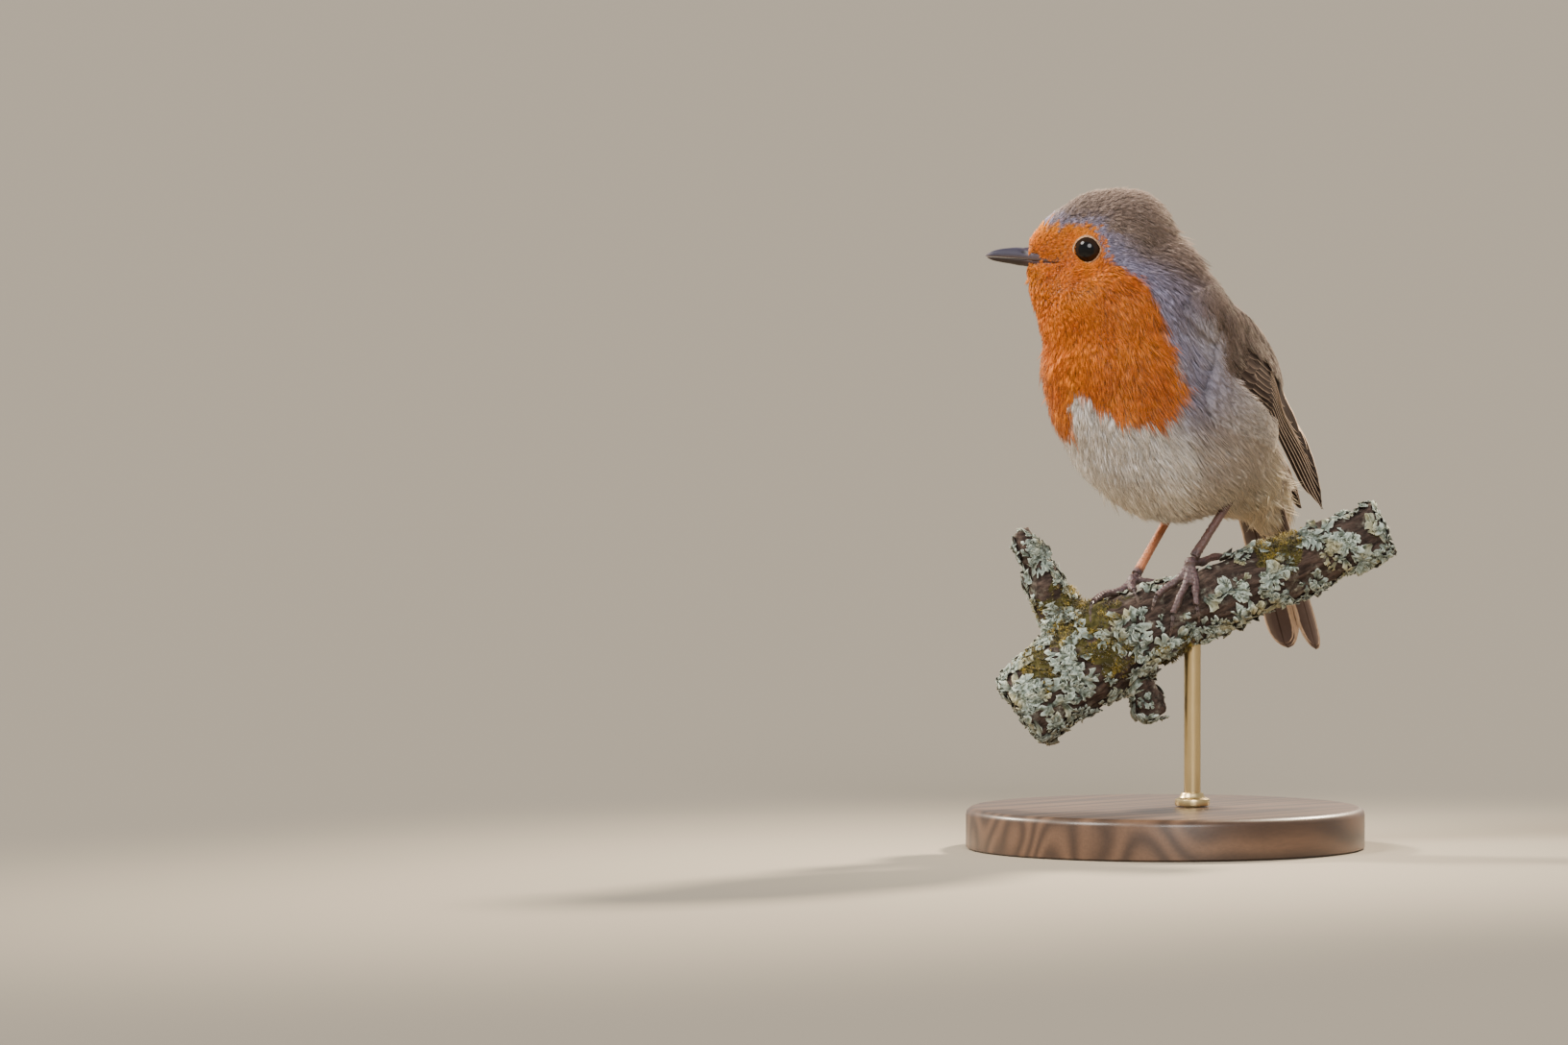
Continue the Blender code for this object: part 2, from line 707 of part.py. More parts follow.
def turned(name, profile, place, steps):
    """A solid of revolution from (radius, height) pairs, read up its outer side."""
    bm = bmesh.new()
    rings = []
    for radius, height in profile:
        ring = []
        for i in range(steps):
            angle = math.tau * i / steps
            ring.append(place + Vector((radius * math.cos(angle), radius * math.sin(angle), height)))
        rings.append(ring)
    skin_rings(bm, rings)
    return mesh_object(name, bm)


def make_rod():
    """The short upright rod, from its socket in the base into the branch."""
    below = perch_point_under(ROD_PLACE)
    top = below.z + ROD_IN_BRANCH
    foot = BASE_HEIGHT - ROD_SOCKET
    return turned("stand_rod", [(ROD_RADIUS, foot), (ROD_RADIUS, top)], ROD_PLACE, ROD_STEPS)


def perch_point_under(place):
    """The branch's lowest point over a place on the base."""
    s = place.dot(PERCH_HEADING) / math.cos(PERCH_SLOPE)
    return perch_point(s, math.pi)


def make_base(rod):
    """A round flat base with eased edges and a socket for the rod."""
    profile = [
        (BASE_RADIUS, 0.0),
        (BASE_RADIUS, BASE_HEIGHT - BASE_BEVEL),
        (BASE_RADIUS - BASE_BEVEL * 0.3, BASE_HEIGHT - BASE_BEVEL * 0.3),
        (BASE_RADIUS - BASE_BEVEL, BASE_HEIGHT),
    ]
    base = turned("stand_base", profile, Vector((0, 0, 0)), BASE_STEPS)
    return cut_away(base, rod)


def make_ferrule():
    """The small collar that hides the rod's socket."""
    bottom = BASE_HEIGHT + GAP
    hole = ROD_RADIUS + GAP
    outline = [
        (hole, bottom),
        (FERRULE_RADIUS, bottom),
        (FERRULE_RADIUS, bottom + FERRULE_HEIGHT * 0.5),
        (FERRULE_RADIUS * 0.72, bottom + FERRULE_HEIGHT),
        (hole, bottom + FERRULE_HEIGHT),
    ]
    bm = bmesh.new()
    rows = []
    for i in range(FERRULE_STEPS):
        angle = math.tau * i / FERRULE_STEPS
        spoke = Vector((math.cos(angle), math.sin(angle), 0.0))
        rows.append([bm.verts.new(ROD_PLACE + spoke * r + Vector((0, 0, z))) for r, z in outline])
    for i in range(FERRULE_STEPS):
        row, after = rows[i], rows[(i + 1) % FERRULE_STEPS]
        for k in range(len(outline)):
            m = (k + 1) % len(outline)
            bm.faces.new((row[k], row[m], after[m], after[k]))
    return mesh_object("stand_ferrule", bm)


# ---------------------------------------------------------------- assembly

# Cut planes through the flesh: a point on each, and its normal towards the head
NECK_TOP = (Vector((-15.0, 2.0, 134.5)), Vector((-0.15, 0.0, 0.99)).normalized())
NECK_BASE = (Vector((-10.0, 0.0, 126.8)), Vector((-0.2, 0.0, 0.98)).normalized())

# Colour, roughness and metallic value of each material
MATERIALS = {
    "plumage_brown": ((0.30, 0.23, 0.15), 0.85, 0.0),
    "plumage_orange": ((0.82, 0.30, 0.05), 0.85, 0.0),
    "plumage_pale": ((0.62, 0.58, 0.50), 0.85, 0.0),
    "flight_feathers": ((0.20, 0.15, 0.10), 0.65, 0.0),
    "horn": ((0.05, 0.045, 0.05), 0.35, 0.0),
    "leg_skin": ((0.24, 0.13, 0.10), 0.5, 0.0),
    "eye": ((0.012, 0.009, 0.008), 0.06, 0.0),
    "bark": ((0.24, 0.20, 0.15), 0.9, 0.0),
    "stand_wood": ((0.10, 0.06, 0.035), 0.4, 0.0),
    "stand_metal": ((0.55, 0.45, 0.28), 0.35, 1.0),
}


def material_of(name):
    """The Principled material of that name, made once."""
    found = bpy.data.materials.get(name)
    if found:
        return found
    made = bpy.data.materials.new(name)
    made.use_nodes = True
    shader = made.node_tree.nodes["Principled BSDF"]
    colour, roughness, metallic = MATERIALS[name]
    shader.inputs["Base Color"].default_value = (*colour, 1.0)
    shader.inputs["Roughness"].default_value = roughness
    shader.inputs["Metallic"].default_value = metallic
    return made


def finish(obj, material):
    """Gives a solid its material and smooth shading, and scales it to metres."""
    obj.data.materials.clear()
    obj.data.materials.append(material_of(material))
    obj.data.transform(Matrix.Scale(MM, 4))
    obj.data.shade_smooth()
    obj.data.set_sharp_from_angle(angle=math.radians(50))
    return obj


def build_bird():
    """Makes the bird's own solids, as (object, material) pairs."""
    flesh = make_flesh()
    wing_left = make_wing("wing_left", flesh)
    wing_right = mirror_side(wing_left, "wing_right")
    wing_room = make_wing("wing_room", flesh, rim=GAP + 0.1, over=4.0, under=GAP)
    wing_rooms = [wing_room, mirror_side(wing_room, "wing_room_right")]
    tail = make_tail()
    legs = [make_leg(side) for side in (-1, 1)]
    upper = make_mandible("bill_upper", upper_depth, 1, 1.0)
    lower = make_mandible("bill_lower", lower_depth, -1, LOWER_REACH)
    eyes = [make_eye(side) for side in (-1, 1)]

    half_gap = GAP / 2
    top_point, top_normal = NECK_TOP
    base_point, base_normal = NECK_BASE
    head = slice_off(duplicate(flesh, "head"), top_point + top_normal * half_gap, -top_normal)
    neck = slice_off(duplicate(flesh, "neck"), top_point - top_normal * half_gap, top_normal)
    slice_off(neck, base_point + base_normal * half_gap, -base_normal)
    trunk = slice_off(duplicate(flesh, "trunk"), base_point - base_normal * half_gap, base_normal)
    bpy.data.objects.remove(flesh, do_unlink=True)

    cut_away(head, *eyes, upper, lower)
    cut_away(trunk, tail, *legs)
    for room in wing_rooms:
        combine(neck, room, "DIFFERENCE")
        cut_with(trunk, room)

    pairs = [(head, "plumage_brown"), (neck, "plumage_orange"), (trunk, "plumage_pale")]
    pairs += [(wing_left, "flight_feathers"), (wing_right, "flight_feathers"), (tail, "flight_feathers")]
    pairs += [(upper, "horn"), (lower, "horn")]
    pairs += [(eye, "eye") for eye in eyes]
    pairs += [(leg, "leg_skin") for leg in legs]
    for side in (-1, 1):
        pairs.append((make_foot(side), "leg_skin"))
        pairs += [(make_claw(side, toe, joints), "horn") for toe, joints in TOES[side].items()]
    return pairs


def main():
    """Builds every solid of the part."""
    clear_scene()
    rod = make_rod()
    pairs = [(make_perch(rod), "bark"), (make_base(rod), "stand_wood")]
    pairs += [(make_ferrule(), "stand_metal"), (rod, "stand_metal")]
    pairs += build_bird()
    for obj, material in pairs:
        finish(obj, material)


main()
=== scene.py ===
"""The looks of a life-size European robin that grips a cut length of branch on a plain stand.

Shapes are worked out in millimetres and scaled to metres as each mesh is made. The trunk faces -X, the
bird's left side faces -Y and +Z is up. The head is turned to the bird's right and has a frame of its own:
forward, left, up.
"""

import logging
import math
from abc import ABC, abstractmethod
from collections import defaultdict
from dataclasses import dataclass
from enum import Enum
from typing import Callable

import bmesh
import bpy
import numpy as np
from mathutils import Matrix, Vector
from mathutils.bvhtree import BVHTree


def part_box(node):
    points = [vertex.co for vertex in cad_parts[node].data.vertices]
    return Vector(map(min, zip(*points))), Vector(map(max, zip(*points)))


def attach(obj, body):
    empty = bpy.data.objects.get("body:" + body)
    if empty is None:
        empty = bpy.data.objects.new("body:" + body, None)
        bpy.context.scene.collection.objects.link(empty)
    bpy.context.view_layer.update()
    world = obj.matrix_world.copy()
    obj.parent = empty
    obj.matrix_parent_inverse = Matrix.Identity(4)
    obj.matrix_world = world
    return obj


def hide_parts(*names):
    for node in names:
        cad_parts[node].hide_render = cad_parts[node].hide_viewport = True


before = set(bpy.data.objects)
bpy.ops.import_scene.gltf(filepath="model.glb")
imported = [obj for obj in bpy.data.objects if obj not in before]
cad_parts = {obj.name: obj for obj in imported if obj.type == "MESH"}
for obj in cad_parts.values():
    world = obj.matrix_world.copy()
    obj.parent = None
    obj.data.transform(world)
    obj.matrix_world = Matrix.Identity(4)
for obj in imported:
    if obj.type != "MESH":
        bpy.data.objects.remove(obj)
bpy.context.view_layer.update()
log = logging.getLogger("robin")

MM = 0.001
TURN = 2.0 * math.pi
UP = np.array((0.0, 0.0, 1.0))
SIDEWAYS = np.array((0.0, 1.0, 0.0))
Array = np.ndarray
Mesh = bpy.types.Mesh
Material = bpy.types.Material
Thing = bpy.types.Object
Triple = tuple[float, float, float]
Colour = Triple
Band = tuple[float, float]
Curve = tuple[Band, ...]
Lay = Callable[[Array, Array], tuple[Array, Array]]


# ---------------------------------------------------------------- plain maths


def smooth(low: float, high: float, value: Array) -> Array:
    """Returns 0 below low, 1 above high and an S-shaped rise between."""
    share = np.clip((np.asarray(value, float) - low) / (high - low), 0.0, 1.0)
    return share * share * (3.0 - 2.0 * share)


def blend(first: Array, second: Array, weight: Array) -> Array:
    """Mixes rows of two arrays: a weight of 0 gives the first and 1 the second."""
    share = np.asarray(weight, float)[..., None]
    return np.asarray(first, float) * (1.0 - share) + np.asarray(second, float) * share


def unit(rows: Array) -> Array:
    """Scales each row to length 1."""
    return rows / np.maximum(np.linalg.norm(rows, axis=-1, keepdims=True), 1e-9)


def across(rows: Array, normals: Array) -> Array:
    """Takes from each row its share along a normal and scales the rest to length 1."""
    return unit(rows - (rows * normals).sum(-1, keepdims=True) * normals)


def ripples(points: Array, wave: float, seed: int) -> Array:
    """Smooth noise over space, made of sine waves in random directions.

    Args:
        points: Places in millimetres.
        wave: The mean wavelength.
        seed: Picks the waves.

    Returns:
        One value per place, mostly between -1 and 1.
    """
    dice = np.random.default_rng(seed)
    total = np.zeros(points.shape[:-1])
    for _ in range(9):
        heading = unit(dice.normal(size=3))
        turns = TURN / (wave * dice.uniform(0.6, 1.6))
        total += np.sin(points @ heading * turns + dice.uniform(0.0, TURN))
    return total / 3.2


def through(knots: Curve, value: Array) -> Array:
    """Reads a smooth curve through a few knots, held level beyond its ends.

    Args:
        knots: Pairs of place and height, in rising order of place.
        value: Where the curve is read.

    Returns:
        The curve's heights.
    """
    xs, ys = np.array(knots).T
    slopes = np.gradient(ys, xs)
    at = np.clip(np.asarray(value, float), xs[0], xs[-1])
    i = np.clip(np.searchsorted(xs, at) - 1, 0, len(xs) - 2)
    span = xs[i + 1] - xs[i]
    t = (at - xs[i]) / span
    start = ys[i] * (1 + 2 * t) * (1 - t) ** 2 + ys[i + 1] * t * t * (3 - 2 * t)
    return start + span * (slopes[i] * t * (1 - t) ** 2 + slopes[i + 1] * t * t * (t - 1))


# ---------------------------------------------------------------- meshes


def new_mesh(name: str, points: Array, faces: Array) -> Mesh:
    """Makes a smooth mesh from arrays.

    Args:
        name: The mesh's name.
        points: Corners in millimetres.
        faces: Corner numbers, with the same count in each face.

    Returns:
        The mesh, in metres.
    """
    mesh = bpy.data.meshes.new(name)
    faces = np.asarray(faces, np.int32)
    mesh.vertices.add(len(points))
    mesh.loops.add(faces.size)
    mesh.loops.foreach_set("vertex_index", faces.ravel())
    mesh.polygons.add(len(faces))
    mesh.polygons.foreach_set("loop_start", np.arange(len(faces), dtype=np.int32) * faces.shape[1])
    move_corners(mesh, np.asarray(points))
    mesh.update(calc_edges=True)
    mesh.shade_smooth()
    return mesh


def move_corners(mesh: Mesh, points: Array) -> None:
    """Moves a mesh's corners to places given in millimetres."""
    mesh.vertices.foreach_set("co", (points * MM).astype(np.float32).ravel())
    mesh.update()


def paint(mesh: Mesh, **layers: Array) -> None:
    """Stores named colours (three columns) or numbers (one column) on a mesh's corners.

    Args:
        mesh: The mesh.
        layers: Each layer's values, one row for each corner.
    """
    for name, values in layers.items():
        values = np.asarray(values, np.float32)
        kind, key = ("FLOAT", "value")
        if values.ndim == 2:
            kind, key = ("FLOAT_COLOR", "color")
            values = np.concatenate([values, np.ones((len(values), 1), np.float32)], 1)
        mesh.attributes.new(name, kind, "POINT").data.foreach_set(key, values.ravel())


def added(name: str, data: bpy.types.ID) -> Thing:
    """Puts a new object in the scene.

    Args:
        name: The object's name.
        data: What it holds.

    Returns:
        The object.
    """
    made = bpy.data.objects.new(name, data)
    bpy.context.scene.collection.objects.link(made)
    return made


def place_piece(
    name: str, mesh: Mesh, material: Material, replaces: tuple[str, ...] = ()
) -> Thing:
    """Puts a mesh in the scene as a piece of the model.

    Args:
        name: The piece's name.
        mesh: Its mesh, in metres.
        material: Its finish.
        replaces: Names of the solids that it stands for.

    Returns:
        The new object, riding on the one body.
    """
    piece = added(name, mesh)
    mesh.materials.clear()
    mesh.materials.append(material)
    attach(piece, "root")
    if replaces:
        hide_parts(*replaces)
    log.info("%s: %d faces", name, len(mesh.polygons))
    return piece


def corners_of(mesh: Mesh) -> Array:
    """Reads a mesh's corners in millimetres.

    Args:
        mesh: The mesh.

    Returns:
        One place for each corner.
    """
    flat = np.zeros(len(mesh.vertices) * 3, np.float32)
    mesh.vertices.foreach_get("co", flat)
    return flat.reshape(-1, 3).astype(float) / MM


def triangles_of(mesh: Mesh) -> Array:
    """Reads a mesh's faces as triangles of corner numbers.

    Args:
        mesh: The mesh.

    Returns:
        Three corner numbers for each triangle.
    """
    mesh.calc_loop_triangles()
    flat = np.zeros(len(mesh.loop_triangles) * 3, np.int32)
    mesh.loop_triangles.foreach_get("vertices", flat)
    return flat.reshape(-1, 3)


def tree_of(points: Array, faces: Array) -> BVHTree:
    """Makes a search tree of a surface."""
    return BVHTree.FromPolygons(points.tolist(), faces.tolist())


def node_tree(*names: str) -> BVHTree:
    """Makes a search tree of solids, in millimetres.

    Args:
        names: The solids.

    Returns:
        The tree.
    """
    points, faces, count = [], [], 0
    for name in names:
        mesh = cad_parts[name].data
        points.append(corners_of(mesh))
        faces.append(triangles_of(mesh) + count)
        count += len(points[-1])
    return tree_of(np.concatenate(points), np.concatenate(faces))


def node_centre(name: str) -> Array:
    """Finds the middle of a solid's box, in millimetres."""
    low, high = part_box(name)
    return (np.array(low) + np.array(high)) * 0.5 / MM


def modified(mesh: Mesh, *steps: tuple[str, dict]) -> Mesh:
    """Runs a mesh through modifiers.

    Args:
        mesh: The mesh, which is then removed.
        steps: Each modifier's type and settings.

    Returns:
        The new mesh.
    """
    carrier = added("carrier", mesh)
    for kind, settings in steps:
        step = carrier.modifiers.new(kind, kind)
        for key, value in settings.items():
            setattr(step, key, value)
    view = bpy.context.evaluated_depsgraph_get()
    made = bpy.data.meshes.new_from_object(carrier.evaluated_get(view))
    bpy.data.objects.remove(carrier)
    bpy.data.meshes.remove(mesh)
    made.shade_smooth()
    return made


def reshaped(names: tuple[str, ...], voxel: float, swell: float, smoothing: int) -> Mesh:
    """Joins copies of solids into one even, smoothed mesh.

    Args:
        names: The solids.
        voxel: The size of the new mesh's faces.
        swell: How far each copy is first pushed out, which closes the gaps between them.
        smoothing: How many rounds of smoothing follow.

    Returns:
        The new mesh, in metres.
    """
    made = bmesh.new()
    for name in names:
        made.from_mesh(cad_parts[name].data)
    bmesh.ops.remove_doubles(made, verts=made.verts, dist=1e-6)
    made.normal_update()
    for corner, normal in [(v, v.normal.copy()) for v in made.verts]:
        corner.co += normal * swell * MM
    rough = bpy.data.meshes.new("rough")
    made.to_mesh(rough)
    made.free()
    grid = ("REMESH", {"mode": "VOXEL", "voxel_size": voxel * MM})
    return modified(rough, grid, ("SMOOTH", {"factor": 0.5, "iterations": smoothing}))


def vertex_normals(points: Array, faces: Array, rounds: int = 0) -> Array:
    """Works out a normal for each corner of a triangle mesh.

    Args:
        points: The corners.
        faces: The triangles.
        rounds: How many times the normals are then averaged with their neighbours'.

    Returns:
        Unit normals.
    """
    a, b, c = (points[faces[:, k]] for k in range(3))
    face = np.cross(b - a, c - a)
    total = np.zeros_like(points)
    for k in range(3):
        np.add.at(total, faces[:, k], face)
    total = unit(total)
    for _ in range(rounds):
        spread = total.copy()
        for k in range(3):
            np.add.at(spread, faces[:, k], total[faces[:, k - 1]] + total[faces[:, k - 2]])
        total = unit(spread)
    return total


class Surface:
    """A triangle mesh that places can be brought onto, with smoothed normals."""

    def __init__(self, points: Array, faces: Array, rounds: int) -> None:
        """Measures the mesh, in millimetres.

        Args:
            points: The corners.
            faces: The triangles.
            rounds: How many times the normals are smoothed.
        """
        self.points = points
        self.faces = faces
        self.normals = vertex_normals(points, faces, rounds)
        self.tree = tree_of(points, faces)
        corners = points[faces]
        self.middles = corners.mean(1)
        sides = corners[:, 1:] - corners[:, :1]
        self.areas = np.linalg.norm(np.cross(sides[:, 0], sides[:, 1]), axis=1) * 0.5

    def on_triangles(self, picks: Array, shares: Array) -> tuple[Array, Array]:
        """Places and normals on the picked triangles, at shares of their three corners."""
        faces, shares = self.faces[picks], shares[..., None]
        return (self.points[faces] * shares).sum(1), unit((self.normals[faces] * shares).sum(1))

    def nearest(self, places: Array) -> tuple[Array, Array]:
        """Brings places onto the surface.

        Args:
            places: Where to search from.

        Returns:
            The places on the surface and the normals.
        """
        found = [self.tree.find_nearest(p) for p in places.tolist()]
        spots = np.array([f[0] for f in found])
        return spots, unit(self.normals[self.faces[[f[2] for f in found]]].sum(1))


def loft(rings: Array, wrapped: bool = False) -> tuple[Array, Array]:
    """Joins closed rings of corners one after another.

    Args:
        rings: Rows of corners, each row a closed ring.
        wrapped: Whether the last ring joins the first; if not, each end is closed with a fan.

    Returns:
        The corners, with the ends' middles last, and the triangles, facing outwards.
    """
    rows, cols = rings.shape[:2]
    points = rings.reshape(-1, 3)
    number = np.arange(rows * cols).reshape(rows, cols)
    if wrapped:
        number = np.concatenate([number, number[:1]])
    beside = np.roll(number, -1, axis=1)
    here, there, near, far = number[:-1], number[1:], beside[:-1], beside[1:]
    faces = [np.stack(three, -1).reshape(-1, 3) for three in ((here, near, far), (here, far, there))]
    if not wrapped:
        faces.append(np.stack([beside[0], number[0], np.full(cols, rows * cols)], -1))
        faces.append(np.stack([number[-1], beside[-1], np.full(cols, rows * cols + 1)], -1))
        points = np.concatenate([points, [rings[0].mean(0), rings[-1].mean(0)]])
    triangles = np.concatenate(faces)
    a, b, c = (points[triangles[:, k]] - points.mean(0) for k in range(3))
    volume = (a * np.cross(b, c)).sum()
    return points, triangles if volume > 0.0 else triangles[:, ::-1]


def sheet_faces(rows: int, cols: int) -> Array:
    """Lists the faces of a thin closed sheet: an upper grid of corners, a lower one and the band between.

    Args:
        rows: How many corners the grid has along the sheet.
        cols: How many it has across.

    Returns:
        The faces' corner numbers.
    """
    number = np.arange(rows * cols).reshape(rows, cols)
    quads = np.stack([number[:-1, :-1], number[1:, :-1], number[1:, 1:], number[:-1, 1:]], -1).reshape(-1, 4)
    rim = np.concatenate([number[:, 0], number[-1, 1:], number[-2::-1, -1], number[0, -2:0:-1]])
    after = np.roll(rim, -1)
    band = np.stack([rim, rim + number.size, after + number.size, after], -1)
    return np.concatenate([quads, quads[:, ::-1] + number.size, band])


def repeated(faces: Array, corners: int, count: int) -> Array:
    """Lists the faces of so many copies of one form, each copy with its own corners."""
    return (faces + (np.arange(count) * corners)[:, None, None]).reshape(-1, faces.shape[1])


def with_ends(values: Array) -> Array:
    """Lists one value for each corner of a loft with closed ends."""
    return np.concatenate([values.ravel(), [values[0].mean(), values[-1].mean()]])


class Side(Enum):
    """One of the bird's two sides; the value is the sign of its left measure."""

    LEFT = 1
    RIGHT = -1


# ---------------------------------------------------------------- shader maths


class Wire:
    """The output of a shader node, which can be used in sums with numbers and other outputs."""

    def __init__(self, graph: "Graph", socket: bpy.types.NodeSocket) -> None:
        """Wraps one output socket of a graph."""
        self.graph = graph
        self.socket = socket

    def __add__(self, other: "Wire | float") -> "Wire":
        """Adds."""
        return self.graph.math("ADD", self, other)

    def __sub__(self, other: "Wire | float") -> "Wire":
        """Takes away."""
        return self.graph.math("SUBTRACT", self, other)

    def __rsub__(self, other: float) -> "Wire":
        """Takes this from a number."""
        return self.graph.math("SUBTRACT", other, self)

    def __mul__(self, other: "Wire | float") -> "Wire":
        """Multiplies."""
        return self.graph.math("MULTIPLY", self, other)

    __radd__ = __add__
    __rmul__ = __mul__

    def absolute(self) -> "Wire":
        """Drops the sign."""
        return self.graph.math("ABSOLUTE", self)

    def rise(self, low: float, high: float) -> "Wire":
        """Maps the value with an S-shaped rise, held level beyond its ends.

        Args:
            low: What becomes 0.
            high: What becomes 1.

        Returns:
            The new output.
        """
        settings = {"interpolation_type": "SMOOTHSTEP"}
        inputs = {"Value": self, "From Min": low, "From Max": high}
        return self.graph.node("ShaderNodeMapRange", settings, inputs)


class Graph:
    """One material's node tree."""

    def __init__(self, name: str) -> None:
        """Starts an empty material.

        Args:
            name: The material's name.
        """
        self.material = bpy.data.materials.new(name)
        self.material.use_nodes = True
        self.tree = self.material.node_tree
        self.tree.nodes.clear()

    def node(
        self, kind: str, settings: dict | None = None, inputs: dict | None = None, output: int | str = 0
    ) -> Wire:
        """Adds a node.

        Args:
            kind: The node's type.
            settings: Its settings, which are made first.
            inputs: Values or wires for its input sockets, by name or number.
            output: Which output is returned.

        Returns:
            That output.
        """
        made = self.tree.nodes.new(kind)
        for key, value in (settings or {}).items():
            setattr(made, key, value)
        for key, value in (inputs or {}).items():
            if isinstance(value, Wire):
                self.tree.links.new(value.socket, made.inputs[key])
            else:
                made.inputs[key].default_value = value
        return Wire(self, made.outputs[output])

    def math(self, operation: str, *values: "Wire | float") -> Wire:
        """Adds a Math node."""
        return self.node("ShaderNodeMath", {"operation": operation}, dict(enumerate(values)))

    def mix(self, first: "Wire | Colour", second: "Wire | Colour", weight: "Wire | float") -> Wire:
        """Mixes two colours.

        Args:
            first: What a weight of 0 gives.
            second: What a weight of 1 gives.
            weight: The share of the second.

        Returns:
            The mixed colour.
        """
        ends = [v if isinstance(v, Wire) else (*v, 1.0) for v in (first, second)]
        inputs = {0: weight, 6: ends[0], 7: ends[1]}
        return self.node("ShaderNodeMix", {"data_type": "RGBA"}, inputs, 2)

    def tint(self, colour: "Wire | Colour", strength: Wire) -> Wire:
        """Multiplies a colour by a number that changes over the surface.

        Args:
            colour: The colour.
            strength: The number.

        Returns:
            The new colour.
        """
        triple = colour if isinstance(colour, Wire) else tuple(colour)
        grey = self.node("ShaderNodeCombineXYZ", None, {0: strength, 1: strength, 2: strength})
        return self.node("ShaderNodeVectorMath", {"operation": "MULTIPLY"}, {0: triple, 1: grey})

    def number(self, name: str) -> Wire:
        """Reads a number stored on the mesh."""
        return self.node("ShaderNodeAttribute", {"attribute_name": name}, None, "Fac")

    def colour(self, name: str) -> Wire:
        """Reads a colour stored on the mesh."""
        return self.node("ShaderNodeAttribute", {"attribute_name": name}, None, "Color")

    def place(self, stretch: Triple = (1.0, 1.0, 1.0)) -> Wire:
        """Reads the place in the object's own space, in millimetres.

        Args:
            stretch: What each axis is multiplied by; less than 1 draws a pattern out along it.

        Returns:
            The place.
        """
        where = self.node("ShaderNodeTexCoord", None, None, "Object")
        scale = tuple(s / MM for s in stretch)
        return self.node("ShaderNodeVectorMath", {"operation": "MULTIPLY"}, {0: where, 1: scale})

    def noise(self, wave: float, detail: float = 3.0, where: Wire | None = None, rough: float = 0.5) -> Wire:
        """Adds cloudy noise with lumps of about the given size."""
        inputs = {"Vector": where or self.place(), "Scale": 1.0 / wave, "Detail": detail, "Roughness": rough}
        return self.node("ShaderNodeTexNoise", None, inputs)

    def bump(self, height: Wire, depth: float, strength: float) -> Wire:
        """Turns heights into a bumped normal."""
        inputs = {"Height": height, "Distance": depth * MM, "Strength": strength}
        return self.node("ShaderNodeBump", None, inputs)

    def surface(self, inputs: dict) -> Material:
        """Ends the material in one Principled surface with the given sockets.

        Args:
            inputs: Values or wires by socket name.

        Returns:
            The material.
        """
        shader = self.node("ShaderNodeBsdfPrincipled", None, inputs)
        end = self.tree.nodes.new("ShaderNodeOutputMaterial")
        self.tree.links.new(shader.socket, end.inputs["Surface"])
        return self.material


class Finish(ABC):
    """One surface's finish; each kind gives the sockets of its surface."""

    name: str

    @abstractmethod
    def sockets(self, graph: Graph) -> dict:
        """Gives the surface's sockets.

        Args:
            graph: The material's graph.

        Returns:
            Values or wires by socket name.
        """

    def material(self) -> Material:
        """Makes the material."""
        graph = Graph(self.name)
        return graph.surface(self.sockets(graph))


# ---------------------------------------------------------------- the head's frame and the plumage's colours


@dataclass
class HeadFrame:
    """The head's own axes, found from where the two eyes are."""

    eye_forward: float = 4.9  # how far the eyes lie in front of the head's centre
    eye_up: float = 0.9

    def __post_init__(self) -> None:
        """Measures the eyes."""
        self.eyes = {1: node_centre("eye_left"), -1: node_centre("eye_right")}
        self.left = unit(self.eyes[1] - self.eyes[-1])
        self.forward = np.cross(self.left, UP)
        middle = (self.eyes[1] + self.eyes[-1]) * 0.5
        self.centre = middle - self.forward * self.eye_forward - UP * self.eye_up

    def of(self, points: Array) -> tuple[Array, Array, Array]:
        """Gives the forward, left and up measures of places."""
        away = points - self.centre
        return away @ self.forward, away @ self.left, away @ UP

    def at(self, forward: Array, left: Array, up: Array) -> Array:
        """Gives the places that have these measures."""
        parts = [np.asarray(m, float)[..., None] for m in (forward, left, up)]
        return self.centre + parts[0] * self.forward + parts[1] * self.left + parts[2] * UP


HEAD = HeadFrame()


def over_back(points: Array) -> Array:
    """How far each place lies over the sloping line between the flanks and the back."""
    return (points[:, 0] + 3.0) * 0.665 + (points[:, 2] - 128.0) * 0.747


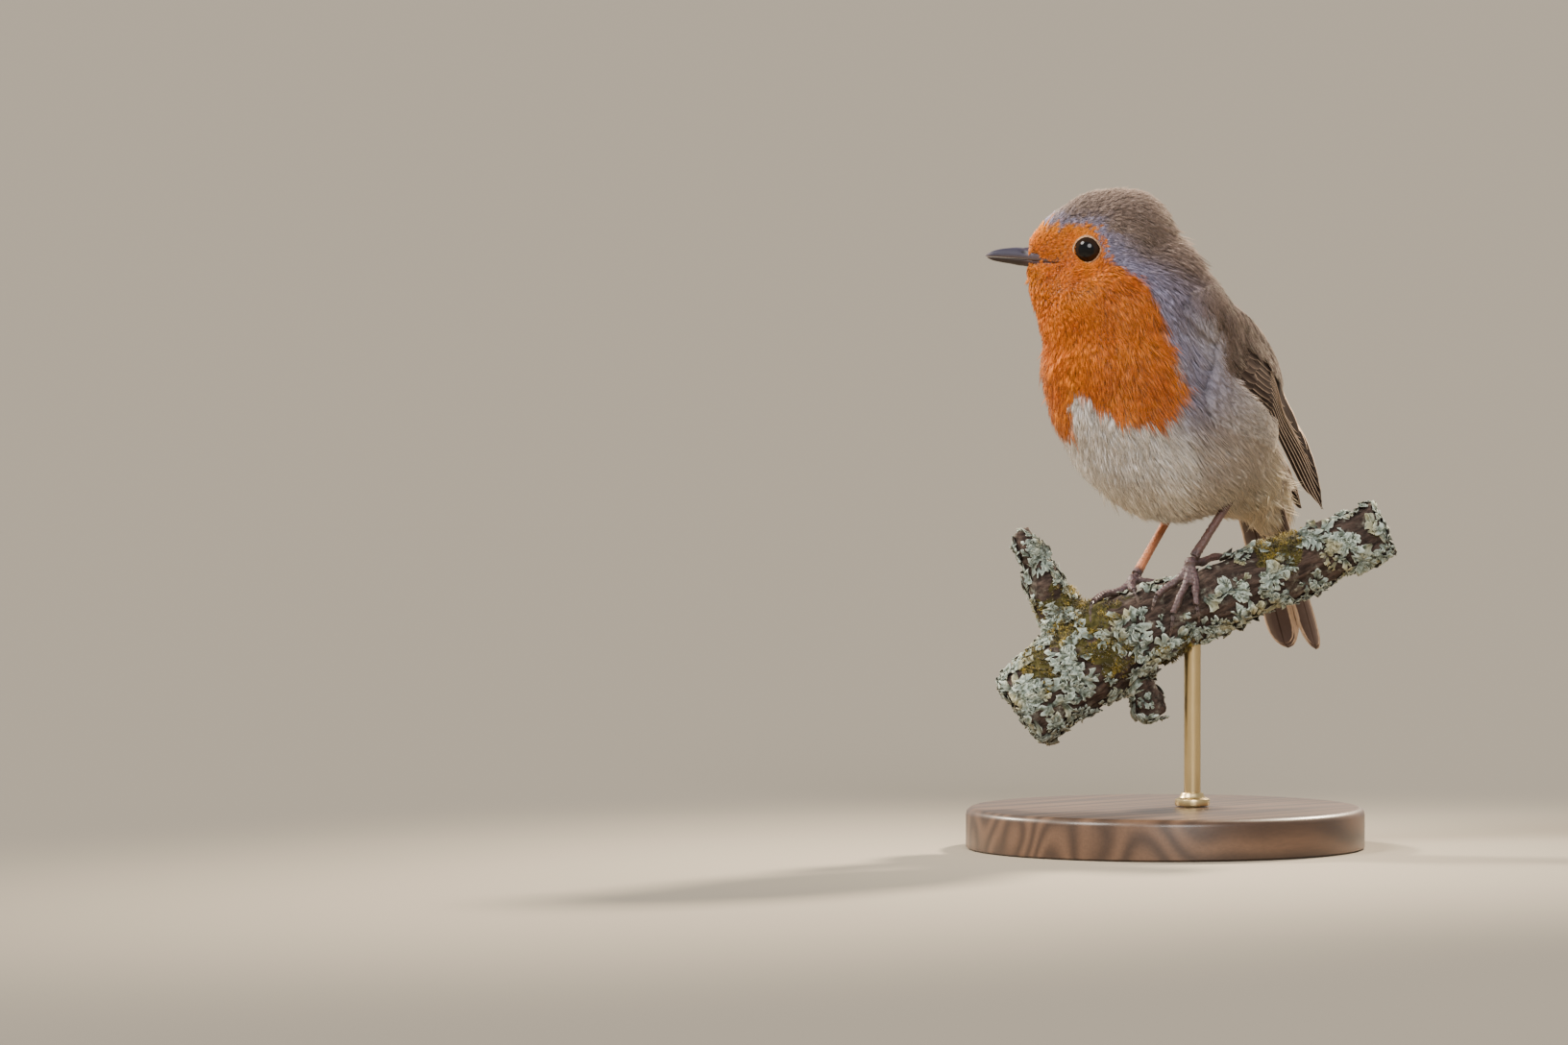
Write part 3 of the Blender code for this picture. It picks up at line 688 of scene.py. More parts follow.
@dataclass(frozen=True)
class Markings:
    """The colours of the plumage and where each lies, for the skin and the coat alike."""

    orange: Colour = (0.86, 0.262, 0.018)
    orange_deep: Colour = (0.72, 0.180, 0.012)
    orange_gold: Colour = (0.93, 0.36, 0.025)
    lavender: Colour = (0.365, 0.340, 0.490)
    brown: Colour = (0.205, 0.142, 0.115)
    crown: Colour = (0.315, 0.230, 0.190)
    white: Colour = (0.99, 0.96, 0.95)
    cream: Colour = (0.92, 0.79, 0.55)
    buff: Colour = (0.68, 0.565, 0.43)
    flank: Colour = (0.64, 0.560, 0.515)
    back_edge: Curve = (  # how far forward the orange of the face starts, for heights over the head's centre
        (-20.0, -16.5), (-13.0, -11.5), (-8.5, -9.5), (-4.5, -4.6), (-1.5, 0.4), (1.5, 1.2), (6.4, 3.4),
    )
    brow: float = 6.3  # how high the orange reaches over the head's centre
    neck: Band = (121.0, 131.0)  # heights over which the breast's outline of the orange becomes the face's
    grey_from: Band = (42.0, 66.0)  # bearings, in degrees, where the white becomes the flanks' grey
    buff_from: Band = (60.0, 100.0)
    buff_low: Band = (112.0, 96.0)  # heights between which the buff comes in
    cream_low: Band = (95.0, 85.0)
    vent_from: Band = (14.0, 24.0)
    back_from: Band = (60.0, 80.0)  # bearings where the back's brown may start
    nape_from: Band = (126.0, 132.0)
    crown_from: Band = (-6.0, 4.0)
    axis_x: float = 2.0  # the trunk's upright axis, from which angles about it are measured

    def bearing(self, points: Array) -> Array:
        """The angle of each place about the trunk's axis, in degrees from the front to the bird's left."""
        return np.degrees(np.arctan2(-points[..., 1], self.axis_x - points[..., 0]))

    def bib_low_edge(self, bearing: Array) -> Array:
        """The height of the bib's lower edge: a white notch at the front between two lobes.

        Args:
            bearing: Angles about the trunk's axis, in degrees.

        Returns:
            One height for each angle.
        """
        left = 107.2 - 0.075 * np.abs(bearing) + 5.4 * np.exp(-((bearing / 14.0) ** 2))
        right = 101.6 + 10.6 * np.exp(-((bearing / 6.5) ** 2)) + 0.03 * np.abs(bearing)
        return np.where(bearing > 0.0, left, right)

    def bib(self, points: Array) -> Array:
        """How far each place is inside the orange face and breast, negative outside.

        Args:
            points: Places on the skin.

        Returns:
            Millimetres, one for each place.
        """
        forward, _, up = HEAD.of(points)
        face = np.minimum(forward - through(self.back_edge, up), self.brow - up)
        bearing, height = self.bearing(points), points[..., 2]
        twist = -45.0 * smooth(115.0, 133.0, height)
        half = 47.5 + 27.0 * smooth(117.0, 131.0, height) - 12.0 * (1.0 - smooth(104.0, 114.0, height))
        side = (half - np.abs(bearing - twist)) * 0.38
        breast = np.minimum(side, (height - self.bib_low_edge(bearing)) * 0.9)
        share = smooth(*self.neck, height)
        return face * share + breast * (1.0 - share)

    def colours(self, points: Array, normals: Array) -> Array:
        """The plumage's colour at each place.

        Args:
            points: Places on the skin.
            normals: The skin's normals there.

        Returns:
            One colour per place.
        """
        x, height = points[:, 0], points[:, 2]
        _, _, up = HEAD.of(points)
        bearing = np.abs(self.bearing(points))
        patchy = ripples(points, 7.0, 11)
        base = blend(self.white, self.flank, smooth(*self.grey_from, bearing + 5.0 * patchy))
        buff = smooth(*self.buff_from, bearing) * smooth(*self.buff_low, height)
        base = blend(base, self.buff, 0.35 * buff)
        base = blend(base, self.cream, smooth(*self.cream_low, height) * 0.42)
        base = blend(base, self.cream, 0.6 * smooth(*self.vent_from, x) * smooth(0.3, -0.3, normals[:, 2]))
        back = smooth(-8.5, -2.5, over_back(points) + 1.5 * patchy) * smooth(*self.back_from, bearing)
        upper = blend(self.brown, self.crown, smooth(*self.crown_from, up))
        base = blend(base, upper, np.maximum(back, smooth(*self.nape_from, height)))
        edge = self.bib(points) + 0.55 * ripples(points, 2.2, 3) + 0.35 * ripples(points, 0.9, 4)
        high = smooth(-9.0, 2.0, up) * smooth(4.5, 6.2, up)
        reach = 9.0 - 4.0 * smooth(-3.0, 5.0, up) - 3.1 * high + 4.0 * smooth(-14.0, -22.0, up)
        beside = np.exp(-((np.maximum(-edge, 0.0) / reach) ** 2)) * smooth(98.0, 108.0, height)
        beside = beside * smooth(34.0, 50.0, bearing + 60.0 * smooth(120.0, 128.0, height))
        base = blend(base, self.lavender, beside * 0.95)
        warm = blend(self.orange, self.orange_deep, 0.5 + 0.4 * ripples(points, 9.0, 5))
        warm = blend(warm, self.orange_gold, smooth(3.5, 6.0, up) * 0.6)
        return blend(base, warm, smooth(-0.5, 0.5, edge))


MARKINGS = Markings()


# ---------------------------------------------------------------- how the coat grows


@dataclass(frozen=True)
class BillOutline:
    """The bill as pairs of how far forward and how high, from the corner of the gape to the tip."""

    top: Curve = (
        (11.8, -2.02), (13.9, -1.36), (16.3, -0.60), (18.4, 0.55), (19.8, 1.10), (21.2, 1.24), (23.4, 1.10),
        (25.6, 0.82), (27.9, 0.10), (29.1, -0.62),
    )
    ridge: Curve = ((11.8, 1.5), (14.5, 1.7), (17.0, 1.5), (18.4, 1.28), (19.8, 1.18))  # under the feathers
    keel: Curve = ((11.8, -4.2), (14.5, -4.1), (17.0, -3.8), (18.6, -3.45), (20.6, -3.16))
    parting: Curve = ((11.8, -2.28), (16.3, -1.96), (20.9, -1.46), (25.6, -1.14), (29.1, -0.93))
    bottom: Curve = (
        (11.8, -2.60), (13.9, -2.76), (16.3, -2.95), (18.6, -3.22), (20.6, -3.16), (23.2, -2.68),
        (25.6, -2.28), (27.9, -1.66), (28.7, -1.22),
    )
    half: Curve = (  # half the gape's width
        (11.8, 5.6), (14.0, 4.9), (16.3, 3.6), (18.6, 2.5), (21.5, 1.72), (24.5, 1.14), (27.5, 0.60),
        (29.1, 0.14),
    )


BILL = BillOutline()


@dataclass(frozen=True)
class Growth:
    """How deep, long and close the coat is, and which way it lies, at each place."""

    lid_radius: float = 3.15  # the bare rim round the eye
    by_bill: Curve = ((0.0, 0.0), (8.0, 0.16), (16.0, 0.34), (26.0, 0.58), (40.0, 0.86), (60.0, 1.0))
    spine: tuple[Triple, ...] = (
        (-10.0, 1.0, 124.0), (-4.0, 0.0, 112.0), (8.0, 0.0, 102.0), (22.0, 0.0, 92.0), (38.0, 0.0, 74.0),
    )
    spine_reach: float = 10.0
    bill_at: Band = (13.5, -2.6)  # how far forward and up the bill leaves the face
    crown_trim: float = 0.30  # how much shorter the crown's feathers are
    crown_from: Band = (-7.0, 4.0)
    skin_depth: Band = (0.35, 1.5)  # at the bill, and what full growth adds
    shown_length: Band = (1.35, 5.6)
    root_gap: Band = (0.42, 0.53)
    cheek_sunk: float = 1.5

    def bill_root(self) -> Array:
        """The place where the bill leaves the face."""
        return HEAD.at(self.bill_at[0], 0.0, self.bill_at[1])

    def size(self, points: Array) -> Array:
        """The share of full growth: 0 at the bill and 1 on the belly.

        Args:
            points: Places on the skin.

        Returns:
            One share for each place.
        """
        away = np.linalg.norm(points - self.bill_root(), axis=-1)
        _, _, up = HEAD.of(points)
        cap = self.crown_trim * smooth(*self.crown_from, up)
        return through(self.by_bill, away) * (1.0 - cap)

    def from_eye(self, points: Array) -> tuple[Array, Array]:
        """The distance of each place from the nearer eye's axis, and the direction away from it.

        Args:
            points: Places on the head.

        Returns:
            The distances and the unit vectors.
        """
        _, left, _ = HEAD.of(points)
        centre = np.where((left > 0.0)[..., None], HEAD.eyes[1], HEAD.eyes[-1])
        away = points - centre
        away = away - (away @ HEAD.left)[..., None] * HEAD.left
        return np.linalg.norm(away, axis=-1), unit(away)

    def depth(self, points: Array) -> Array:
        """How far the skin lies under the coat's surface.

        Args:
            points: Places on the skin.

        Returns:
            One distance for each place.
        """
        ring, _ = self.from_eye(points)
        full = self.skin_depth[0] + self.skin_depth[1] * self.size(points)
        return np.where(ring < 9.0, full * (0.45 + 0.55 * smooth(3.0, 8.0, ring)), full)

    def carve(self, points: Array) -> Array:
        """How much further in the skin lies beside the bill, where the face narrows to the gape.

        Args:
            points: Places on the skin.

        Returns:
            One distance for each place.
        """
        forward, left, up = HEAD.of(points)
        beside = smooth(8.5, 15.0, forward) * smooth(1.6, 4.6, np.abs(left))
        return self.cheek_sunk * beside * np.exp(-(((up + 1.8) / 3.8) ** 2))

    def length(self, points: Array) -> Array:
        """How long a feather's shown part is.

        Args:
            points: Places on the skin.

        Returns:
            One length for each place.
        """
        ring, _ = self.from_eye(points)
        grown = self.shown_length[0] + self.shown_length[1] * self.size(points)
        return np.minimum(grown, 0.9 + 0.55 * np.maximum(ring - self.lid_radius, 0.0))

    def spacing(self, points: Array) -> Array:
        """How far apart feathers are rooted.

        Args:
            points: Places on the skin.

        Returns:
            One distance for each place.
        """
        ring, _ = self.from_eye(points)
        grown = self.root_gap[0] + self.root_gap[1] * self.size(points)
        away = np.linalg.norm(points - self.bill_root(), axis=-1)
        edge = np.minimum(np.maximum(ring - self.lid_radius, 0.0), np.maximum(away - 4.0, 0.0))
        return np.minimum(grown, 0.27 + 0.11 * edge)

    def flow(self, points: Array, normals: Array) -> Array:
        """The way the coat lies: back over the head, down the breast and on towards the tail.

        Args:
            points: Places on the skin.
            normals: The skin's normals there.

        Returns:
            Unit vectors along the skin.
        """
        head = [HEAD.at(9.0, 0.0, 0.0), HEAD.at(0.0, 0.0, 0.0), HEAD.at(-8.0, 0.0, -9.0)]
        line = np.array([*head, *self.spine])
        ways = unit(np.gradient(line, axis=0))
        near = ((points[:, None, :] - line[None]) ** 2).sum(-1)
        share = np.exp(-(near - near.min(1, keepdims=True)) / (2.0 * self.spine_reach**2))
        way = unit((share[..., None] * ways[None]).sum(1))
        ring, off_eye = self.from_eye(points)
        way = way + off_eye * (0.75 * np.exp(-np.maximum(ring - self.lid_radius, 0.0) / 1.6))[:, None]
        from_bill = points - self.bill_root()
        spread = unit(from_bill - (from_bill @ HEAD.forward)[:, None] * HEAD.forward)
        near_bill = np.exp(-np.linalg.norm(from_bill, axis=-1) / 7.0)
        way = way + spread * near_bill[:, None]
        return across(way, normals)


GROWTH = Growth()


@dataclass
class Skin:
    """One closed skin that replaces the head, neck and trunk and lies inside them by the coat's depth."""

    nodes: tuple[str, ...] = ("head", "neck", "trunk")
    filling: tuple[str, ...] = ("eye_left", "eye_right")  # these close the sockets as the skin is shaped
    voxel: float = 0.78
    swell: float = 0.35
    smoothing: int = 9
    normal_rounds: int = 8
    levelling: int = 6  # rounds that even out how far the skin is moved under the solids
    lid_level: float = 8.9  # how far out from the head's middle plane the lids lie
    hollow: float = 7.0  # radius of the hollow round each eye
    shade: float = 0.5  # painted shade: how much darker the skin is than the coat that grows on it, as if in shadow under the coat
    probe: Band = (2.5, 6.0)  # where the search for the solids' surface starts over the skin, and its reach
    over_limits: Band = (-2.2, 0.6)
    lid_slope: float = 1.1  # how steeply the hollow's sides rise
    unwrap_angle: float = 66.0
    unwrap_margin: float = 0.004
    tries: float = 3.2  # candidates for each feather root, before they are thinned out
    packing: float = 0.86  # least distance between roots, as a share of their mean one

    def build(self) -> "Skin":
        """Shapes the skin.

        Returns:
            The skin itself.
        """
        self.mesh = reshaped(self.nodes + self.filling, self.voxel, self.swell, self.smoothing)
        self.mesh.name = "skin"
        outer = corners_of(self.mesh)
        faces = triangles_of(self.mesh)
        normals = vertex_normals(outer, faces, self.normal_rounds)
        inset = GROWTH.depth(outer) + GROWTH.carve(outer) + self._over(outer, normals, faces)
        points = self._hollowed(outer - normals * inset[:, None])
        move_corners(self.mesh, points)
        self.surface = Surface(points, faces, self.normal_rounds)
        return self

    def _hollowed(self, points: Array) -> Array:
        """Sinks the cheeks a little towards each eye, so that its lids lie in a shallow hollow.

        Args:
            points: The skin's corners.

        Returns:
            Their new places.
        """
        _, left, _ = HEAD.of(points)
        ring, _ = GROWTH.from_eye(points)
        level = self.lid_level + self.lid_slope * np.maximum(ring - GROWTH.lid_radius, 0.0)
        over = np.maximum(np.abs(left) - level, 0.0) * (ring < self.hollow)
        return points - HEAD.left * (np.sign(left) * over)[:, None]

    def _over(self, points: Array, normals: Array, faces: Array) -> Array:
        """How far each corner stands out over the solids, evened out over its neighbours.

        Args:
            points: The skin's corners.
            normals: Their normals.
            faces: The skin's triangles.

        Returns:
            One distance for each corner.
        """
        solids = node_tree(*self.nodes, *self.filling)
        over = np.full(len(points), self.swell)
        for number, (point, normal) in enumerate(zip(points, normals)):
            hit = solids.ray_cast(Vector(point + normal * self.probe[0]), Vector(-normal), self.probe[1])[0]
            if hit:
                over[number] = np.clip((point - np.array(hit)) @ normal, *self.over_limits)
        count = np.bincount(faces.ravel(), minlength=len(points)) * 2.0 + 1.0
        for _ in range(self.levelling):
            total = over.copy()
            for k in range(3):
                np.add.at(total, faces[:, k], over[faces[:, k - 1]] + over[faces[:, k - 2]])
            over = total / count
        return over

    def dress(self) -> Thing:
        """Colours the skin, unwraps it and puts it in the scene.

        Returns:
            The skin's piece.
        """
        colours = MARKINGS.colours(self.surface.points, self.surface.normals)
        # painted shade: the skin takes the plumage's colours darkened, as if in shadow under the coat
        paint(self.mesh, plumage=colours * self.shade)
        finish = DownFinish("skin_under_coat").material()
        piece = place_piece("skin", self.mesh, finish, self.nodes)
        self._unwrap(piece)
        return piece

    def _unwrap(self, piece: Thing) -> None:
        """Lays the skin out flat and keeps where each corner of each triangle falls.

        Args:
            piece: The skin's object.
        """
        bpy.context.view_layer.objects.active = piece
        bpy.ops.object.select_all(action="DESELECT")
        piece.select_set(True)
        bpy.ops.object.mode_set(mode="EDIT")
        bpy.ops.mesh.select_all(action="SELECT")
        bpy.ops.uv.smart_project(
            angle_limit=math.radians(self.unwrap_angle), island_margin=self.unwrap_margin
        )
        bpy.ops.object.mode_set(mode="OBJECT")
        layer = self.mesh.uv_layers.active
        layer.name = "OFBake"
        flat = np.zeros(len(self.mesh.loops) * 2, np.float32)
        layer.data.foreach_get("uv", flat)
        loops = np.zeros(len(self.surface.faces) * 3, np.int32)
        self.mesh.calc_loop_triangles()
        self.mesh.loop_triangles.foreach_get("loops", loops)
        self.flat = flat.reshape(-1, 2)[loops].reshape(-1, 3, 2)

    def flat_at(self, places: Array) -> Array:
        """Where the skin under each place falls on the unwrapped skin."""
        numbers = [self.surface.tree.find_nearest(p)[2] for p in places.tolist()]
        return self.flat[numbers].mean(1)

    def scatter(self, dice: np.random.Generator) -> tuple[Array, Array]:
        """Spreads feather roots evenly, closer where the coat is finer.

        Args:
            dice: The source of chance.

        Returns:
            The roots, and where each falls on the unwrapped skin.
        """
        wish = self.surface.areas / GROWTH.spacing(self.surface.middles) ** 2
        picks = dice.choice(len(wish), int(wish.sum() * self.tries), p=wish / wish.sum())
        ends = np.sort(dice.random((len(picks), 2)), axis=1)
        shares = np.stack([ends[:, 0], ends[:, 1] - ends[:, 0], 1.0 - ends[:, 1]], 1)
        places, _ = self.surface.on_triangles(picks, shares)
        flat = (self.flat[picks] * shares[..., None]).sum(1)
        kept = thinned(places, GROWTH.spacing(places) * self.packing)
        return places[kept], flat[kept]


def thinned(places: Array, gaps: Array) -> Array:
    """Keeps each place that is not too near one kept before.

    Args:
        places: Candidates, in the order in which they are tried.
        gaps: The least distance to its neighbours that each needs.

    Returns:
        The numbers of those kept.
    """
    cell = float(gaps.max())
    grid: dict[tuple[int, int, int], list[tuple[float, float, float]]] = {}
    steps = [(i, j, k) for i in (-1, 0, 1) for j in (-1, 0, 1) for k in (-1, 0, 1)]
    kept = []
    for number, ((x, y, z), gap) in enumerate(zip(places.tolist(), gaps.tolist())):
        home = (int(x // cell), int(y // cell), int(z // cell))
        near = (q for i, j, k in steps for q in grid.get((home[0] + i, home[1] + j, home[2] + k), ()))
        if all((x - u) ** 2 + (y - v) ** 2 + (z - w) ** 2 > gap * gap for u, v, w in near):
            grid.setdefault(home, []).append((x, y, z))
            kept.append(number)
    return np.array(kept)


@dataclass(frozen=True)
class DownFinish(Finish):
    """Soft feather: dull, with a faint bloom at grazing light."""

    name: str
    roughness: float = 0.62
    bloom: float = 0.22

    def sockets(self, graph: Graph) -> dict:
        """Gives the surface's sockets.

        Args:
            graph: The material's graph.

        Returns:
            Values or wires by socket name.
        """
        return {
            "Base Color": graph.tint(graph.colour("plumage"), 0.82 + 0.36 * graph.noise(0.5, 2.0)),
            "Roughness": self.roughness,
            "Specular IOR Level": 0.12,
            "Sheen Weight": self.bloom,
            "Sheen Roughness": 0.45,
            "Sheen Tint": (1.0, 0.93, 0.84, 1.0),
        }


@dataclass
class Patch:
    """Feather roots on one surface, with how their feathers grow."""

    surface: Surface
    roots: Array
    flat: Array  # where the roots fall on the unwrapped skin
    length: Array
    lift: Array  # how high the tips stand over the surface
    lean: float = 0.0  # how far the feathers turn from the flow, in radians
    loose: float = 0.0  # how untidy they are
    base: float = -0.12  # height of the roots over the surface
    colour: Array | None = None  # the feathers' own colours, where the markings don't give them


class Wisp(Enum):
    """Where loose tufts stand out; the value is their middle, reach, share, length and lift."""

    NAPE = ((-6.0, -8.0, 145.0), 9.0, 0.15, 5.6, 2.8)
    CHIN = ((-27.5, 13.3, 135.5), 7.0, 0.16, 2.6, 1.5)
    BREAST = ((-20.0, 15.0, 118.0), 16.0, 0.06, 6.0, 2.4)
    BELLY = ((-7.0, 9.0, 80.0), 13.0, 0.14, 7.0, 3.2)
    VENT = ((31.0, -8.0, 88.0), 9.0, 0.85, 8.0, 3.6)


class Overlap(Enum):
    """Feathers that lie over the wing; the value is their spacing, length, lift and looseness."""

    SCAPULARS = (0.84, 6.5, 0.42, 0.06)
    FLANK = (0.86, 5.2, 0.40, 0.08)


@dataclass
class Coat:
    """The contour feathers: tufts of fine closed barbs that lie over the skin."""

    skin: Skin
    barbs: int = 7
    rings: tuple[float, ...] = (0.0, 0.52)
    sides: int = 3
    thickness: float = 0.098
    patch: float = 0.003
    limit: int = 198_000
    overlap_tries: int = 90_000
    lift_gain: float = 1.42  # how high the tips stand, as a share of the coat's depth
    lift_least: float = 0.14
    steps: int = 4  # of each feather's middle line
    length_spread: Band = (0.82, 1.18)
    barb_spread: Band = (0.74, 1.08)
    lift_spread: Band = (0.70, 1.12)
    root_width: Band = (0.10, 0.10)  # a tuft's half width: a share of its length, and what is added
    tip_width: Band = (0.17, 0.14)
    shaded_root_brightness: float = 0.46  # how bright a barb is at its root: painted shade, darkest where the barbs crowd at the skin
    tip_gain: float = 0.66
    tuft_tone: float = 0.07
    barb_tone: float = 0.19
    under_wing: Band = (0.4, 5.0)  # where the search for a wing over a root starts, and its reach
    gape_bare: float = 0.58  # share of the horn's height that stays bare beside the face
    clear_of_eye: float = 4.6  # how far from an eye's middle the nearest roots are
    covered: tuple[str, ...] = ("trunk", "neck", "wing_left", "wing_right")  # joined under the overlap
    cover_voxel: float = 0.8
    cover_swell: float = 0.3
    cover_smoothing: int = 6
    cover_rounds: int = 4
    off_middle: float = 2.5  # how far from the middle plane the overlapping feathers start
    over_base: float = 0.12
    # painted shade: darkens the feathers raised over the wing, which would otherwise show lighter than the
    # shaded coat beside them
    over_shade: float = 0.88
    flank_lean: float = 0.16
    wisp_length: Band = (0.7, 1.25)
    wisp_lift: Band = (0.4, 1.3)
    wisp_loose: float = 0.2
    swing: float = 0.10  # how far single feathers turn from the flow, in radians
    shared_swing: float = 0.14  # how far neighbours turn together
    slot_scatter: float = 0.14  # of the barbs across a feather
    side_trim: float = 0.30  # how much shorter the outermost barbs are
    wave_share: float = 0.018  # how far a barb waves, as a share of its length
    colour_nudge: float = 0.35  # how far from its root a feather's colour is picked
    seed: int = 20

    def build(self) -> None:
        """Grows every feather and puts the coat in the scene, one piece for each part of the body."""
        self.dice = np.random.default_rng(self.seed)
        self.finish = DownFinish("contour_feathers").material()
        self.total = 0
        roots, flat = self.skin.scatter(self.dice)
        shown = self._shown(roots)
        roots, flat = roots[shown], flat[shown]
        lift = self.lift_gain * GROWTH.depth(roots) + self.lift_least
        rows = (roots, flat, GROWTH.length(roots), lift)
        regions = self._regions(roots)
        for name in sorted(set(regions)):
            self.grow(name, Patch(self.skin.surface, *(row[regions == name] for row in rows)))

    def grow(self, name: str, patch: Patch) -> None:
        """Makes one piece of the coat.

        Args:
            name: The piece's name.
            patch: Its feathers.
        """
        mesh = self._mesh(name, patch)
        faces = len(mesh.polygons)
        self.total += faces
        if faces > self.limit:
            log.warning("%s has too many faces: %d", name, faces)
        place_piece(name, mesh, self.finish)

    def wisps(self) -> None:
        """Adds the few long loose tufts that stand out of the outline."""
        roots, flat = self.skin.scatter(self.dice)
        for kind in Wisp:
            middle, reach, share, length, lift = kind.value
            near = np.linalg.norm(roots - np.array(middle), axis=1) < reach
            chosen = near & (self.dice.random(len(roots)) < share) & self._shown(roots)
            count = int(chosen.sum())
            if not count:
                log.warning("no place for wisps: %s", kind.name)
                continue
            grown = length * self.dice.uniform(*self.wisp_length, count)
            raised = lift * self.dice.uniform(*self.wisp_lift, count)
            rows = (roots[chosen], flat[chosen], grown, raised)
            self.grow(f"wisps_{kind.name.lower()}", Patch(self.skin.surface, *rows, loose=self.wisp_loose))

    def overlap(self, sheet: "WingSheet") -> None:
        """Lays scapulars over the top of each wing and flank feathers over its front and lower edge.

        Args:
            sheet: The wing's outer face.
        """
        mesh = reshaped(self.covered, self.cover_voxel, self.cover_swell, self.cover_smoothing)
        cover = Surface(corners_of(mesh), triangles_of(mesh), self.cover_rounds)
        bpy.data.meshes.remove(mesh)
        picks = self.dice.choice(len(cover.areas), self.overlap_tries, p=cover.areas / cover.areas.sum())
        places, _ = cover.on_triangles(picks, self.dice.dirichlet((1.0, 1.0, 1.0), len(picks)))
        for kind in Overlap:
            spacing, length, lift, loose = kind.value
            for side in Side:
                s, q = sheet.measure(places, side)
                own_side = places[:, 1] * side.value < -self.off_middle
                chosen = places[self._overlaps(kind, s, q) & own_side]
                chosen = chosen[thinned(chosen, np.full(len(chosen), spacing))]
                s, q = sheet.measure(chosen, side)
                _, normals = cover.nearest(chosen)
                own = MARKINGS.colours(chosen, normals)
                raised = lift * (0.25 + 0.75 * smooth(-12.0, -3.0, s))
                brown = np.array(MARKINGS.brown) * (0.93 + 0.09 * ripples(chosen, 3.0, 17))[:, None]
                outside = np.maximum(smooth(0.5, -2.0, MARKINGS.bib(chosen)), smooth(-9.0, -3.0, s))
                if kind is Overlap.SCAPULARS:
                    weight = smooth(-0.65, -0.25, q) * outside * (0.3 + 0.7 * smooth(-12.0, -5.0, s))
                    lean = 0.0
                else:
                    weight = smooth(0.0, 0.4, q) * 0.6 * outside
                    lean = self.flank_lean * side.value
                # their colours are multiplied by over_shade: painted shade
                over = Patch(
                    cover, chosen, self.skin.flat_at(chosen), np.full(len(chosen), length), raised,
                    lean, loose, self.over_base, blend(own, brown, weight) * self.over_shade,
                )
                self.grow(f"over_wing_{kind.name.lower()}_{side.name.lower()}", over)

    @staticmethod
    def _overlaps(kind: Overlap, s: Array, q: Array) -> Array:
        """Tells which places, measured along and across the wing, grow one kind of overlapping feather.

        Args:
            kind: The kind of feather.
            s: Distances along the wing.
            q: Shares of the way across it.

        Returns:
            Whether each place grows it.
        """
        if kind is Overlap.SCAPULARS:
            front = (s > -12.0) & (s < 7.5) & (q > -0.15) & (q < 1.5)
            return front | ((s >= 7.5) & (s < 30.0) & (q > 0.66 + 0.008 * (s - 7.5)) & (q < 1.5))
        return (s > -12.0) & (s < 37.0) & (q > -0.85 + 0.01 * s) & (q < -0.12)

    def _shown(self, roots: Array) -> Array:
        """Tells which roots are not deep under a wing, on an eye or inside the bill.

        Args:
            roots: Feather roots.

        Returns:
            Whether each shows.
        """
        wings = node_tree("wing_left", "wing_right")
        _, normals = self.skin.surface.nearest(roots)
        ring, _ = GROWTH.from_eye(roots)
        forward, _, up = HEAD.of(roots)
        ball = np.minimum(*(np.linalg.norm(roots - HEAD.eyes[k], axis=1) for k in (1, -1)))
        clear = (ring > GROWTH.lid_radius) | (ball > self.clear_of_eye) | (forward < 0.0)
        parting = through(BILL.parting, forward)
        above = (through(BILL.top, forward) - parting) * self.gape_bare
        below = (parting - through(BILL.bottom, forward)) * self.gape_bare
        clear &= (forward < BILL.top[0][0]) | (up > parting + above) | (up < parting - below)
        way = GROWTH.flow(roots, normals)
        ahead = roots + way * (GROWTH.length(roots) * 0.8)[:, None]
        start, reach = self.under_wing
        for number, (root, tip, normal) in enumerate(zip(roots.tolist(), ahead.tolist(), normals)):
            lift = Vector(normal)
            hits = (wings.ray_cast(Vector(spot) + lift * start, lift, reach)[0] for spot in (root, tip))
            clear[number] &= not any(hits)
        return clear

    def _regions(self, roots: Array) -> Array:
        """Names the part of the body that each root is on.

        Args:
            roots: Feather roots.

        Returns:
            One name for each root.
        """
        forward, left, up = HEAD.of(roots)
        x, height = roots[:, 0], roots[:, 2]
        side = np.where(left > 0.0, "left", "right")
        flank = np.where(roots[:, 1] < 0.0, "left", "right")
        names = np.full(len(roots), "coat_belly", dtype=object)
        names[height > 96.0] = "coat_flank"
        names[height > 110.0] = "coat_breast"
        names[over_back(roots) > 0.0] = "coat_back"
        names[height > 124.5] = "coat_neck"
        names[up > -8.0] = "coat_face"
        names[(up > -8.0) & (forward < -1.0)] = "coat_nape"
        names[up > 5.0] = "coat_crown"
        names[(x > 20.0) & (height < 96.0)] = "coat_vent"
        ends = np.where(height > 124.5, side, flank)
        return np.array([f"{n}_{e}" for n, e in zip(names, ends)])

    def _paths(self, patch: Patch, length: Array) -> tuple[Array, Array, Array]:
        """Lays each feather's middle line along its surface.

        Args:
            patch: The feathers.
            length: How long each is.

        Returns:
            The lines' places, their normals and their sideways directions, five stations each.
        """
        swing = self.dice.normal(patch.lean, self.swing + patch.loose, len(patch.roots))
        swing = swing + self.shared_swing * ripples(patch.roots, 8.0, 31)
        place, normal = patch.surface.nearest(patch.roots)
        places, normals, sideways = [], [], []
        for _ in range(self.steps + 1):
            way = GROWTH.flow(place, normal)
            side = np.cross(normal, way)
            way = way * np.cos(swing)[:, None] + side * np.sin(swing)[:, None]
            places.append(place)
            normals.append(normal)
            sideways.append(np.cross(normal, way))
            place, normal = patch.surface.nearest(place + way * (length / self.steps)[:, None])
        return np.stack(places, 1), np.stack(normals, 1), np.stack(sideways, 1)

